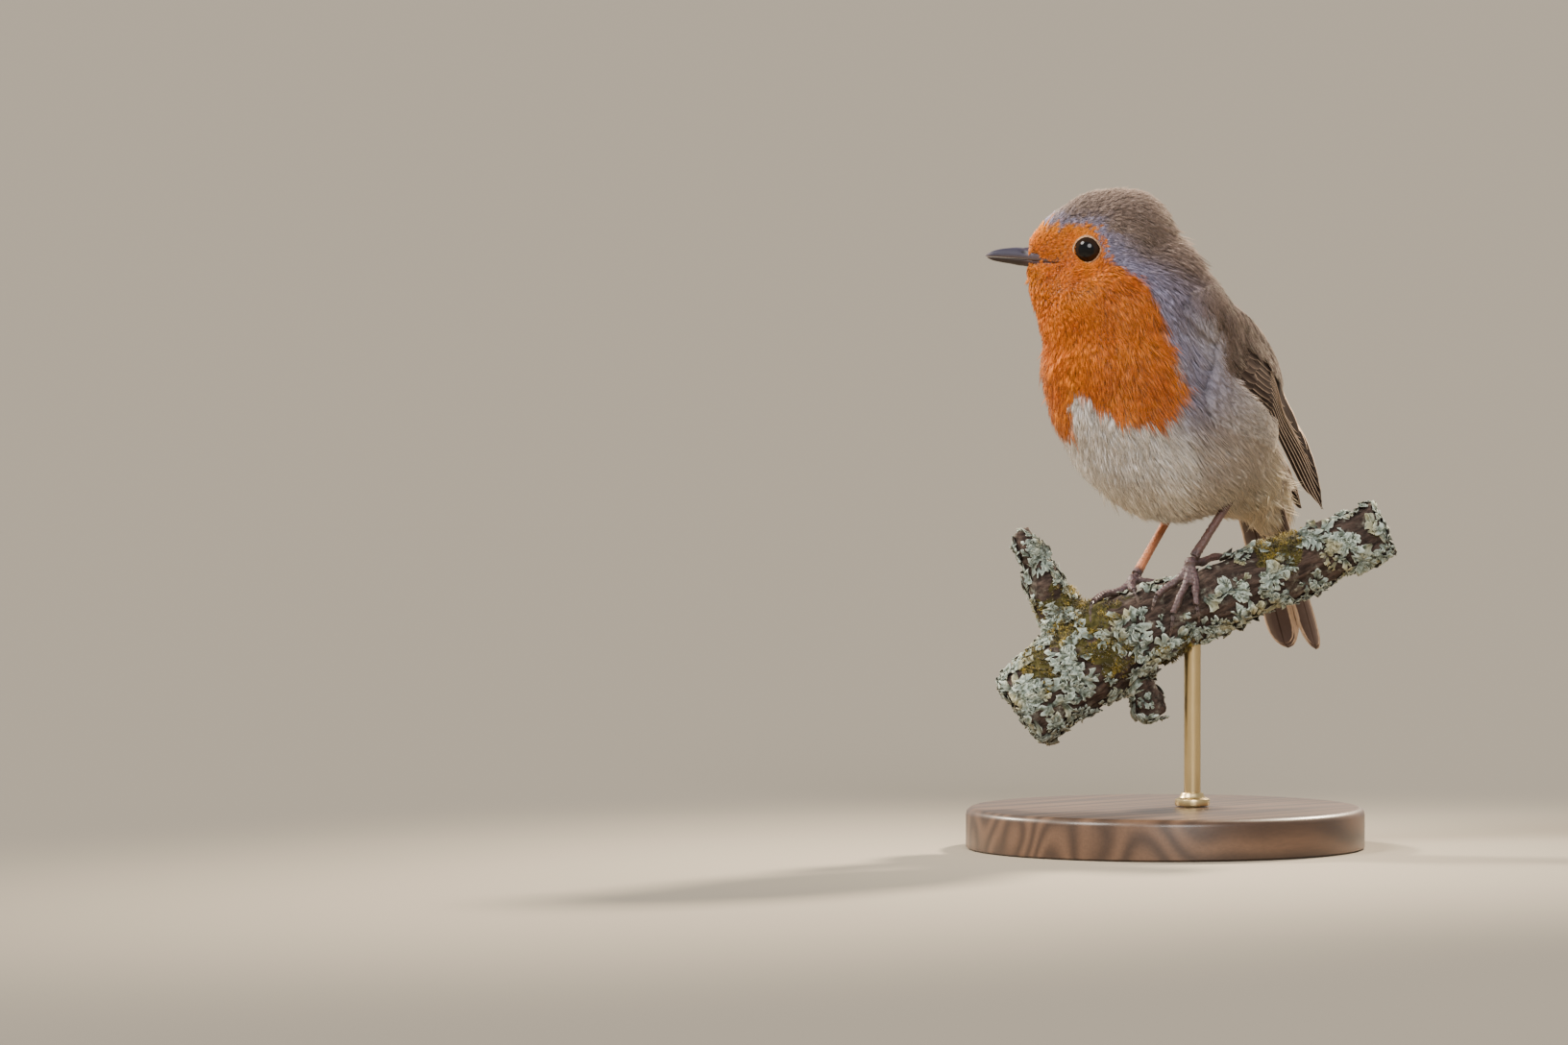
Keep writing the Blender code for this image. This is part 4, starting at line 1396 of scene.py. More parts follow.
    def _mesh(self, name: str, patch: Patch) -> Mesh:
        """Shapes the barbs of one piece of the coat.

        Args:
            name: The piece's name.
            patch: Its feathers.

        Returns:
            The mesh, coloured and with its map of patches.
        """
        dice, barbs, tufts = self.dice, self.barbs, len(patch.roots)
        length = patch.length * dice.uniform(*self.length_spread, tufts)
        middle, normals, sideways = self._paths(patch, length)
        slot = (np.arange(barbs) + 0.5) / barbs * 2.0 - 1.0
        offset = slot[None] + dice.normal(0.0, self.slot_scatter, (tufts, barbs))
        share = (1.0 - self.side_trim * offset**2) * dice.uniform(*self.barb_spread, (tufts, barbs))
        lift = patch.lift * dice.uniform(self.lift_spread[0], self.lift_spread[1] + patch.loose, tufts)
        barb_lift = lift[:, None] * dice.uniform(*self.length_spread, (tufts, barbs))
        wave = dice.uniform(0.0, TURN, (tufts, barbs))
        stations = np.array([*self.rings, 1.0])
        along = np.minimum(share[..., None] * stations, 1.0)
        spine = self._read(middle, along)
        up = unit(self._read(normals, along))
        sideways = self._read(sideways, along)
        long = length[:, None, None]
        root, tip = (share * long + least for share, least in (self.root_width, self.tip_width))
        fan = root * (1.0 - along) + tip * along**0.8
        drift = offset[..., None] * fan * (1.0 - 0.35 * along**3)
        drift = drift + self.wave_share * long * np.sin(wave[..., None] + 5.0 * along) * along
        height = patch.base + (barb_lift[..., None] - patch.base) * along**0.85
        line = spine + sideways * drift[..., None] + up * height[..., None]
        thick = self.thickness * (0.56 + 0.08 * np.minimum(long, 7.0)) * np.array([0.8, 1.0, 0.0])
        points = self._tubes(line, up, sideways, thick)
        barb, cell = self._barb()
        mesh = new_mesh(name, points, repeated(barb, len(self.rings) * self.sides + 1, tufts * barbs))
        tone = dice.normal(0.0, self.tuft_tone, (tufts, 1))
        tone = tone + dice.normal(0.0, self.barb_tone, (tufts, barbs))
        self._colour(mesh, patch, normals[:, 0], along, tone)
        self._map(mesh, patch.flat, cell)
        return mesh

    @staticmethod
    def _read(rows: Array, along: Array) -> Array:
        """Reads a feather's stations at shares of its length, one row of shares for each barb.

        Args:
            rows: Values at even stations, one row for each feather.
            along: Shares of the feather's length.

        Returns:
            The values there.
        """
        last = rows.shape[1] - 1
        at = np.clip(along * last, 0.0, last - 1e-6)
        low = at.astype(int)
        part = (at - low)[..., None]
        number = np.arange(len(rows))[:, None, None]
        return rows[number, low] * (1.0 - part) + rows[number, low + 1] * part

    def _tubes(self, line: Array, up: Array, sideways: Array, thick: Array) -> Array:
        """Puts a ring of corners round each station and one corner at each tip.

        Args:
            line: Each barb's middle line.
            up: The directions out of the skin.
            sideways: The directions across the barbs.
            thick: The rings' radii.

        Returns:
            All barbs' corners.
        """
        turns = (np.arange(self.sides) * TURN / self.sides + math.pi / 2.0)[:, None]
        ring = np.cos(turns) * sideways[:, :, :-1, None] + np.sin(turns) * up[:, :, :-1, None]
        rings = line[:, :, :-1, None] + ring * np.broadcast_to(thick, line.shape[:3])[:, :, :-1, None, None]
        flat_rings = rings.reshape(*line.shape[:2], -1, 3)
        return np.concatenate([flat_rings, line[:, :, -1:]], 2).reshape(-1, 3)

    def _colour(self, mesh: Mesh, patch: Patch, normals: Array, along: Array, tone: Array) -> None:
        """Gives each barb its root's colour, with painted shade that darkens it towards the root, and its own
        tone.

        Args:
            mesh: The piece's mesh.
            patch: Its feathers.
            normals: The skin's normals at the roots.
            along: The rings' shares of the length.
            tone: How much lighter each barb is.
        """
        nudge = self.dice.normal(0.0, self.colour_nudge, patch.roots.shape)
        colour = MARKINGS.colours(patch.roots + nudge, normals) if patch.colour is None else patch.colour
        # painted shade: each barb darkens towards its root, as if shaded by the barbs round it
        shade = (self.shaded_root_brightness + self.tip_gain * along**0.7) * (1.0 + tone[..., None])
        whole = colour[:, None, None, :] * shade[..., None]
        rings = np.repeat(whole[:, :, :-1], self.sides, axis=2)
        paint(mesh, plumage=np.concatenate([rings, whole[:, :, -1:]], 2).reshape(-1, 3))

    def _barb(self) -> tuple[Array, Array]:
        """Lists one barb's triangles, closed at its root and tip.

        Returns:
            The triangles, and where each of their corners lies when the barb is laid out flat.
        """
        rows, sides = len(self.rings), self.sides
        flat = []
        for row, k in np.ndindex(rows - 1, sides):
            flat += [(k, row), (k + 1, row), (k + 1, row + 1), (k, row), (k + 1, row + 1), (k, row + 1)]
        for k in range(sides):
            flat += [(k, rows - 1), (k + 1, rows - 1), (k + 0.5, rows)]
        corners = [rows * sides if row == rows else row * sides + k % sides for k, row in flat]
        corners += reversed(range(sides))
        flat += [(1.0, 0.0), (0.0, 0.0), (0.5, 0.4)]
        return np.array(corners).reshape(-1, 3), np.array(flat) / (sides, rows)

    def _map(self, mesh: Mesh, flat: Array, cell: Array) -> None:
        """Lays each tuft out in a small patch at its root's place on the unwrapped skin.

        Args:
            mesh: The piece's mesh.
            flat: The roots' places on the unwrapped skin.
            cell: One barb laid out flat.
        """
        column = (np.arange(self.barbs)[:, None] + 0.08 + 0.84 * cell[:, 0]) / self.barbs - 0.5
        row = np.broadcast_to(cell[:, 1] - 0.5, column.shape)
        spots = flat[:, None, None] + np.stack([column, row], -1)[None] * self.patch
        layer = mesh.uv_layers.new(name="OFBake")
        layer.data.foreach_set("uv", np.clip(spots, 0.0, 1.0).astype(np.float32).ravel())


# ---------------------------------------------------------------- flight feathers


@dataclass(frozen=True)
class FlightFinish(Finish):
    """Smooth vanes: a dark web with a paler fringe, a fine shaft and slanting barbs."""

    name: str
    web: Colour = (0.017, 0.011, 0.009)
    outer_web: Colour = (0.034, 0.023, 0.018)
    fringe: Colour = (0.72, 0.54, 0.40)
    soft: Colour = (0.036, 0.024, 0.019)
    soft_edge: Colour = (0.092, 0.064, 0.050)
    shaft: Colour = (0.050, 0.034, 0.028)
    barb_pitch: float = 0.22
    roughness: float = 0.6
    gloss: float = 0.03
    rim: Band = (0.80, 0.94)  # share of the half width where the fringe starts and is full

    def sockets(self, graph: Graph) -> dict:
        """Gives the surface's sockets.

        Args:
            graph: The material's graph.

        Returns:
            Values or wires by socket name.
        """
        place, barb, softness = (graph.number(name) for name in ("across", "barb", "soft"))
        side = place.absolute()
        cloud = graph.noise(1.6, 3.0)
        lines = graph.math("SINE", (barb + 0.5 * graph.noise(1.1, 2.0)) * (TURN / self.barb_pitch))
        colour = graph.mix(self.web, self.outer_web, (place * -1.0).rise(0.35, 0.80))
        colour = graph.mix(colour, graph.mix(self.soft, self.soft_edge, side.rise(0.2, 0.9)), softness)
        rim = (side + 0.10 * (cloud - 0.5)).rise(*self.rim) * graph.number("fringe")
        colour = graph.mix(colour, self.fringe, rim)
        colour = graph.mix(colour, self.shaft, 1.0 - side.rise(0.02, 0.09 - 0.05 * softness))
        tone = graph.number("tone") * (0.86 + 0.28 * cloud) * (1.0 + 0.05 * lines)
        return {
            "Base Color": graph.tint(colour, tone),
            "Roughness": self.roughness,
            "Specular IOR Level": self.gloss,
            "Normal": graph.bump(lines, 0.008, 0.5),
        }


@dataclass(frozen=True)
class Vane:
    """The form of one flight feather."""

    outer: float  # width on the side of its outer edge
    inner: float
    round_from: float = 0.80  # where the tip starts to round off
    point: float = 0.5  # how round the tip is: 0.5 is an ellipse, more is more pointed
    fringe: float = 0.6
    tone: float = 1.0
    camber: float = 0.05
    tilt: float = 0.0  # how far the outer edge is raised over the feather next to it
    soft: float = 0.0  # how much the web takes the body feathers' brown
    thickness: float = 0.13
    rows: int = 17
    columns: tuple[float, ...] = (-1.0, -0.86, -0.55, -0.18, 0.0, 0.18, 0.55, 0.86, 1.0)

    def along(self) -> Array:
        """Places of the rows, closer together near the tip."""
        return 1.0 - (1.0 - np.linspace(0.0, 1.0, self.rows)) ** 1.45

    def breadth(self, along: Array, seed: int) -> Array:
        """The share of full width at each row, with a slightly worn edge.

        Args:
            along: Shares of the length.
            seed: Tells one feather's wear from another's.

        Returns:
            One share for each row.
        """
        tip = np.clip((along - self.round_from) / (1.0 - self.round_from), 0.0, 1.0)
        worn = 1.0 + 0.035 * ripples(np.stack([along * 9.0, along * 0 + seed, along * 0], -1), 1.0, 77)
        rise = 0.35 + 0.65 * smooth(-0.05, 0.35, along)
        return rise * np.maximum((1.0 - tip**2) ** self.point, 0.035) * worn


class VaneStack:
    """Flight feathers gathered into one mesh."""

    def __init__(self) -> None:
        """Starts with none."""
        self.points: list[Array] = []
        self.faces: list[Array] = []
        self.numbers: dict[str, list[Array]] = defaultdict(list)
        self.count = 0

    def add(self, form: Vane, length: float, lay: Lay, seed: int) -> None:
        """Adds one closed feather.

        Args:
            form: Its form.
            length: Its length in millimetres.
            lay: Gives the place and the outward normal for shares along and millimetres across.
            seed: Tells its worn edge from another's.
        """
        along = form.along()
        columns = np.array(form.columns)
        breadth = form.breadth(along, seed)[:, None]
        side = np.where(columns < 0.0, form.outer, form.inner) * columns * breadth
        grid_along = np.broadcast_to(along[:, None], side.shape)
        place, normal = lay(grid_along, side)
        thin = np.maximum(1.0 - np.abs(columns) ** 2, 0.12) * form.thickness * 0.5
        shaft = 0.09 * np.exp(-((columns / 0.09) ** 2)) * (1.0 - 0.8 * along[:, None])
        droop = -form.camber * columns**2 * breadth - form.tilt * columns * smooth(0.0, 0.25, along)[:, None]
        top = place + normal * (thin + shaft + droop)[..., None]
        bottom = place + normal * (droop - thin)[..., None]
        self.points.append(np.concatenate([top.reshape(-1, 3), bottom.reshape(-1, 3)]))
        self.faces.append(sheet_faces(*side.shape) + self.count)
        self.count += 2 * side.size
        spread = {
            "across": np.broadcast_to(columns, side.shape),
            "barb": grid_along * length - 0.8 * np.abs(side),
            **{key: np.full(side.shape, getattr(form, key)) for key in ("fringe", "tone", "soft")},
        }
        for key, value in spread.items():
            self.numbers[key].append(np.tile(value.ravel(), 2))

    def piece(self, name: str, material: Material, node: str, mirrored: bool = False) -> None:
        """Makes the piece that stands for a solid.

        Args:
            name: The piece's name.
            material: Its finish.
            node: The solid that it replaces.
            mirrored: Whether it is the right-hand copy.
        """
        points, faces = np.concatenate(self.points), np.concatenate(self.faces)
        if mirrored:
            points, faces = points * (1.0, -1.0, 1.0), faces[:, ::-1]
        mesh = new_mesh(name, points, faces)
        paint(mesh, **{key: np.concatenate(values) for key, values in self.numbers.items()})
        place_piece(name, mesh, material, (node,))


@dataclass
class WingSheet:
    """The outline and the outer face of the folded left wing, measured on its solid."""

    stations: int = 44
    strips: int = 12

    def __post_init__(self) -> None:
        """Measures the solid."""
        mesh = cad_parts["wing_left"].data
        points, faces = corners_of(mesh), triangles_of(mesh)
        lean = points[:, 0] - points[:, 2]
        self.start, tip = points[lean.argmin()] * (1, 0, 1), points[lean.argmax()] * (1, 0, 1)
        self.length = float(np.linalg.norm(tip - self.start))
        self.along = unit(tip - self.start)
        self.across = np.array((-self.along[2], 0.0, self.along[0]))
        self.s = np.linspace(0.8, self.length - 0.6, self.stations)
        away = points - self.start
        s, h = away @ self.along, away @ self.across
        ends = np.concatenate([faces[:, [0, 1]], faces[:, [1, 2]], faces[:, [2, 0]]])
        edges = [self._crossings(s[ends], h[ends], at) for at in self.s]
        self.low, self.high = (np.array([e[k] for e in edges]) for k in (0, 1))
        self._measure(tree_of(points, faces))

    @staticmethod
    def _crossings(s: Array, h: Array, at: float) -> tuple[float, float]:
        """The lowest and highest place where the solid's edges cross one station.

        Args:
            s: How far along the wing each edge's ends are.
            h: How far across it they are.
            at: The station.

        Returns:
            The lowest and the highest crossing.
        """
        over = (s.min(1) <= at) & (s.max(1) >= at)
        near, far = s[over], h[over]
        share = (at - near[:, 0]) / np.where(near[:, 1] == near[:, 0], 1.0, near[:, 1] - near[:, 0])
        level = far[:, 0] + (far[:, 1] - far[:, 0]) * np.clip(share, 0.0, 1.0)
        return float(level.min()), float(level.max())

    def _measure(self, tree: BVHTree) -> None:
        """Finds the outer face on a grid of places and its normals.

        Args:
            tree: The solid's search tree.
        """
        q = np.linspace(0.04, 0.96, self.strips)
        h = self.low[:, None] + (self.high - self.low)[:, None] * q
        flat = self.start + self.s[:, None, None] * self.along + h[..., None] * self.across
        depth = np.zeros(h.shape)
        for index in np.ndindex(h.shape):
            x, _, z = flat[index]
            hit = tree.ray_cast(Vector((x, -80.0, z)), Vector(SIDEWAYS))[0]
            depth[index] = hit.y if hit else np.nan
        for places, lines in ((q, depth), (self.s, depth.T)):
            for line in lines:
                good = ~np.isnan(line)
                if good.any():
                    line[~good] = np.interp(places[~good], places[good], line[good])
        for _ in range(3):
            depth[1:-1] = (depth[:-2] + 2.0 * depth[1:-1] + depth[2:]) / 4.0
        self.q, self.grid = q, flat + depth[..., None] * SIDEWAYS
        run, rise = np.gradient(self.grid, axis=0), np.gradient(self.grid, axis=1)
        normal = unit(np.cross(rise, run))
        self.normal = normal * np.where(normal[..., 1:2] > 0.0, -1.0, 1.0)

    def measure(self, points: Array, side: Side) -> tuple[Array, Array]:
        """Tells how far along a wing places lie, and their share of the way up across it.

        Args:
            points: The places.
            side: Which wing.

        Returns:
            The distances and the shares.
        """
        away = points * (1.0, side.value, 1.0) - self.start
        s, h = away @ self.along, away @ self.across
        low, high = np.interp(s, self.s, self.low), np.interp(s, self.s, self.high)
        return s, (h - low) / np.maximum(high - low, 5.0)

    def width(self, s: Array) -> Array:
        """The wing's width at a station."""
        return np.interp(s, self.s, self.high - self.low)

    def at(self, s: Array, q: Array, height: Array) -> tuple[Array, Array]:
        """Finds places over the wing.

        Args:
            s: Distance from the bend of the wing.
            q: Share of the way from the lower to the upper edge; it may run a little past 0 or 1.
            height: Distance outwards from the outer face.

        Returns:
            The places and the outward normals.
        """
        row = np.interp(s, self.s, np.arange(self.stations))
        past = np.asarray(s - np.clip(s, self.s[0], self.s[-1]))
        col = (q - self.q[0]) / (self.q[-1] - self.q[0]) * (self.strips - 1)
        i = np.clip(row.astype(int), 0, self.stations - 2)
        j = np.clip(np.floor(col).astype(int), 0, self.strips - 2)
        a, b = (row - i)[..., None], (col - j)[..., None]

        def read(grid: Array) -> Array:
            """Reads one grid between its nodes.

            Args:
                grid: Places or normals.

            Returns:
                The values there.
            """
            low = grid[i, j] * (1 - a) + grid[i + 1, j] * a
            high = grid[i, j + 1] * (1 - a) + grid[i + 1, j + 1] * a
            return low * (1 - b) + high * b

        normal = unit(read(self.normal))
        return read(self.grid) + normal * np.asarray(height)[..., None] + past[..., None] * self.along, normal


@dataclass(frozen=True)
class FeatherRow:
    """A row of feathers of one kind across the folded wing, from its lower edge up."""

    count: int
    base: Band  # distance of the first and last feather's root from the bend
    tip: Band
    across: Band  # share of the wing's width where the first and last lie
    lean: float  # how far the tips lie above the roots, as a share of the width
    half: float
    height: float
    rise: float = 0.0  # how much each next feather is raised
    fringe: float = 0.5
    tone: float = 1.0
    soft: float = 0.8
    round_from: float = 0.55


@dataclass
class Wings:
    """Both folded wings: primaries and secondaries in one fan, tertials, alula and rows of coverts."""

    sheet: WingSheet
    primaries: int = 8
    fan: int = 16
    fan_root: float = 13.0
    primary_tips: tuple[float, ...] = (66.5, 70.5, 72.8, 73.2, 71.4, 68.8, 65.8, 62.5)
    primary_ends: tuple[float, ...] = (0.16, 0.30, 0.44, 0.56, 0.66, 0.74, 0.78, 0.80)
    inner_tips: tuple[float, ...] = (58.5, 56.0, 54.0, 52.0, 50.0, 51.5, 46.0, 39.5)
    rows: tuple[FeatherRow, ...] = (
        FeatherRow(3, (11.0, 13.0), (23.0, 31.0), (0.07, 0.13), 0.02, 1.5, 0.32, 0.03, 0.40, 0.80, 0.2),
        FeatherRow(5, (12.0, 11.0), (30.5, 27.0), (0.06, 0.32), 0.03, 1.5, 0.36, 0.02, 0.50, 0.85, 0.3),
        FeatherRow(9, (9.0, 8.0), (26.5, 23.0), (0.16, 0.90), 0.05, 2.1, 0.46, 0.02, 0.40, 0.95, 0.6),
        FeatherRow(8, (6.0, 5.5), (18.6, 16.4), (0.06, 0.86), 0.04, 2.3, 0.58, 0.01, 0.20, 1.0, 0.9),
        FeatherRow(8, (3.0, 3.0), (13.6, 12.4), (0.04, 0.82), 0.03, 2.3, 0.66, 0.01, 0.10, 1.0, 1.0),
    )
    sink: float = 0.55  # how far the lowest feather lies under the solid's outer face
    layer: float = 0.03  # how much higher each next feather of the fan lies
    tertials: int = 3
    seed: int = 8

    def build(self) -> None:
        """Makes both wings."""
        stack = VaneStack()
        for k in range(self.fan):
            self._fan_feather(stack, k)
        dice = np.random.default_rng(self.seed)
        for number, row in enumerate(self.rows):
            self._row(stack, row, number, dice)
        finish = FlightFinish("wing_vanes").material()
        stack.piece("wing_left_feathers", finish, "wing_left")
        stack.piece("wing_right_feathers", finish, "wing_right", mirrored=True)

    def _fan_feather(self, stack: VaneStack, k: int) -> None:
        """Lays one primary, secondary or tertial; the first is the outermost primary and lies lowest.

        Args:
            stack: Takes the feather.
            k: Its number.
        """
        tertial = k >= self.fan - self.tertials
        if k < self.primaries:
            tip, end = self.primary_tips[k], self.primary_ends[k]
        else:
            tip, end = self.inner_tips[k - self.primaries], 0.72
        half = 2.9 if tertial else 2.05
        root_q = 0.05 + 0.88 * k / (self.fan - 1)
        height = -self.sink + self.layer * k
        length = tip - self.fan_root

        def lay(along: Array, side: Array) -> tuple[Array, Array]:
            """Places the feather on the wing.

            Args:
                along: Shares of the feather's length.
                side: Distances across it.

            Returns:
                The places and the outward normals.
            """
            s = self.fan_root + along * length
            q = root_q + (end - root_q) * smooth(-0.2, 1.0, along) ** 1.2
            width = np.maximum(self.sheet.width(s), 2.6)
            inset = np.clip(q, 1.1 / width, 1.0 - 1.1 / width)
            return self.sheet.at(s, inset + side / width, height - 0.25 * along * (k < self.primaries))

        pale = 0.80 if tertial else 0.95
        form = Vane(
            outer=half * (0.85 if tertial else 0.72), inner=half, round_from=0.72 if tertial else 0.84,
            point=0.5 if tertial else 0.72, fringe=pale, tone=1.05 if tertial else 0.86 + 0.02 * k, rows=22,
            camber=0.02, tilt=0.24, soft=0.35 if tertial else 0.0,
        )
        stack.add(form, length, lay, k)

    def _row(self, stack: VaneStack, row: FeatherRow, number: int, dice: np.random.Generator) -> None:
        """Lays one row of coverts.

        Args:
            stack: Takes the feathers.
            row: The row's form.
            number: The row's number.
            dice: The source of chance.
        """
        for k in range(row.count):
            share = k / (row.count - 1)
            base = row.base[0] + (row.base[1] - row.base[0]) * share
            tip = row.tip[0] + (row.tip[1] - row.tip[0]) * share + dice.normal(0.0, 0.35)
            root_q = row.across[0] + (row.across[1] - row.across[0]) * share
            height = row.height + row.rise * k - self.sink

            def lay(
                along: Array, side: Array, base: float = base, tip: float = tip,
                root_q: float = root_q, height: float = height,
            ) -> tuple[Array, Array]:
                """Places the covert on the wing.

                Args:
                    along: Shares of the feather's length.
                    side: Distances across it.
                    base: Where its root is.
                    tip: Where its tip is.
                    root_q: How far across its root is.
                    height: How high it lies.

                Returns:
                    The places and the outward normals.
                """
                s = base + along * (tip - base)
                width = np.maximum(self.sheet.width(s), 3.0)
                q = np.clip(root_q + row.lean * along, 0.9 / width, 1.0 - 0.9 / width)
                return self.sheet.at(s, q + side / width, height + 0.12 * along - 0.25 * (1.0 - along))

            tone = row.tone * dice.uniform(0.93, 1.07)
            form = Vane(
                outer=row.half * 0.95, inner=row.half, round_from=row.round_from, fringe=row.fringe,
                tone=tone, rows=12, camber=0.05, tilt=0.12, soft=row.soft,
            )
            stack.add(form, tip - base, lay, 100 * (number + 1) + k)


@dataclass
class Tail:
    """Twelve closed tail feathers in two lobes with a shallow notch between."""

    feathers: int = 12
    root_half: float = 4.2
    lobe_at: float = 4.4  # how far each lobe's middle lies from the tail's
    lobe_spread: float = 1.5
    arch: float = 0.022
    notch: float = 2.4
    corner: float = 1.2
    half: float = 4.1
    stack_depth: float = 1.0
    web: Colour = (0.110, 0.080, 0.074)
    outer_web: Colour = (0.175, 0.135, 0.115)

    def build(self) -> None:
        """Makes the tail."""
        low, high = (np.array(c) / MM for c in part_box("tail"))
        root = np.array((low[0] + 0.9, 0.0, high[2] - 0.4))
        tip = np.array((high[0] - 0.9, 0.0, low[2] + 0.6))
        along = unit(tip - root)
        back = np.array((-along[2], 0.0, along[0]))
        full = float(np.linalg.norm(tip - root))
        stack = VaneStack()
        for number in range(self.feathers):
            rank = (number - (self.feathers - 1) / 2.0) / ((self.feathers - 1) / 2.0)
            tip_side = math.copysign(self.lobe_at + (abs(rank) - 0.5) * self.lobe_spread, rank)
            notch = self.notch * (1.0 - min(1.0, abs(rank) * 1.8))
            length = full - notch - self.corner * max(0.0, abs(rank) - 0.6) ** 2 / 0.16
            layer = self.stack_depth * (0.5 - abs(rank))

            def lay(
                share: Array, side: Array, rank: float = rank, tip_side: float = tip_side,
                length: float = length, layer: float = layer,
            ) -> tuple[Array, Array]:
                """Places the feather in the fan.

                Args:
                    share: Shares of the feather's length.
                    side: Distances across it.
                    rank: Its place in the fan, from -1 to 1.
                    tip_side: How far out its tip lies.
                    length: Its length.
                    layer: How high it lies.

                Returns:
                    The places and the outward normals.
                """
                middle = rank * self.root_half + (tip_side - rank * self.root_half) * smooth(-0.3, 1.0, share)
                sign = -1.0 if rank < 0.0 else 1.0
                width = middle + sign * side * -1.0
                place = root + (share * length)[..., None] * along + width[..., None] * SIDEWAYS
                roof = layer * (1.0 - 0.35 * share) - self.arch * width**2
                normal = unit(back + (2.0 * self.arch * width)[..., None] * SIDEWAYS)
                return place + roof[..., None] * back, normal * np.ones_like(place)

            form = Vane(
                outer=self.half * 0.85, inner=self.half, round_from=0.90, point=0.5, fringe=0.95,
                tone=1.0, rows=24, camber=0.04,
            )
            stack.add(form, length, lay, 900 + number)
        stack.piece("tail_feathers", FlightFinish("tail_vanes", self.web, self.outer_web).material(), "tail")


# ---------------------------------------------------------------- bare parts of the bird


@dataclass(frozen=True)
class HornFinish(Finish):
    """Polished horn, bluish above and browner below, with a paler cutting edge and a dark nostril: the bluish
    top is slate horn with a painted reflection of the sky, and the nostril's dark is painted shade.
    """

    name: str
    # ridge: on the bill, the slate horn with a painted bluish reflection of the sky along its top
    ridge: Colour = (0.035, 0.031, 0.054)
    below: Colour = (0.024, 0.015, 0.012)
    gape: Colour = (0.075, 0.036, 0.036)
    edge: Colour = (0.185, 0.145, 0.140)
    # nostril: painted shade, the near-black of the shade inside the nostril's slit
    nostril: Colour = (0.010, 0.007, 0.006)
    roughness: float = 0.34

    def sockets(self, graph: Graph) -> dict:
        """Gives the surface's sockets.

        Args:
            graph: The material's graph.

        Returns:
            Values or wires by socket name.
        """
        cloud = graph.noise(0.9, 4.0)
        grain = graph.noise(0.16, 2.0, graph.place((0.2, 0.2, 1.0)))
        # the ridge colour on the bill holds a painted bluish reflection of the sky
        colour = graph.mix(self.below, self.ridge, graph.number("ridge"))
        colour = graph.mix(colour, self.gape, graph.number("gape") * (0.75 + 0.5 * cloud))
        colour = graph.mix(colour, self.edge, graph.number("edge"))
        # painted shade in the nostril's slit
        colour = graph.mix(colour, self.nostril, graph.number("pit"))
        return {
            "Base Color": graph.tint(colour, 0.8 + 0.4 * cloud),
            "Roughness": self.roughness + 0.18 * cloud,
            "Specular IOR Level": 0.32,
            "Normal": graph.bump(grain, 0.03, 0.35),
        }


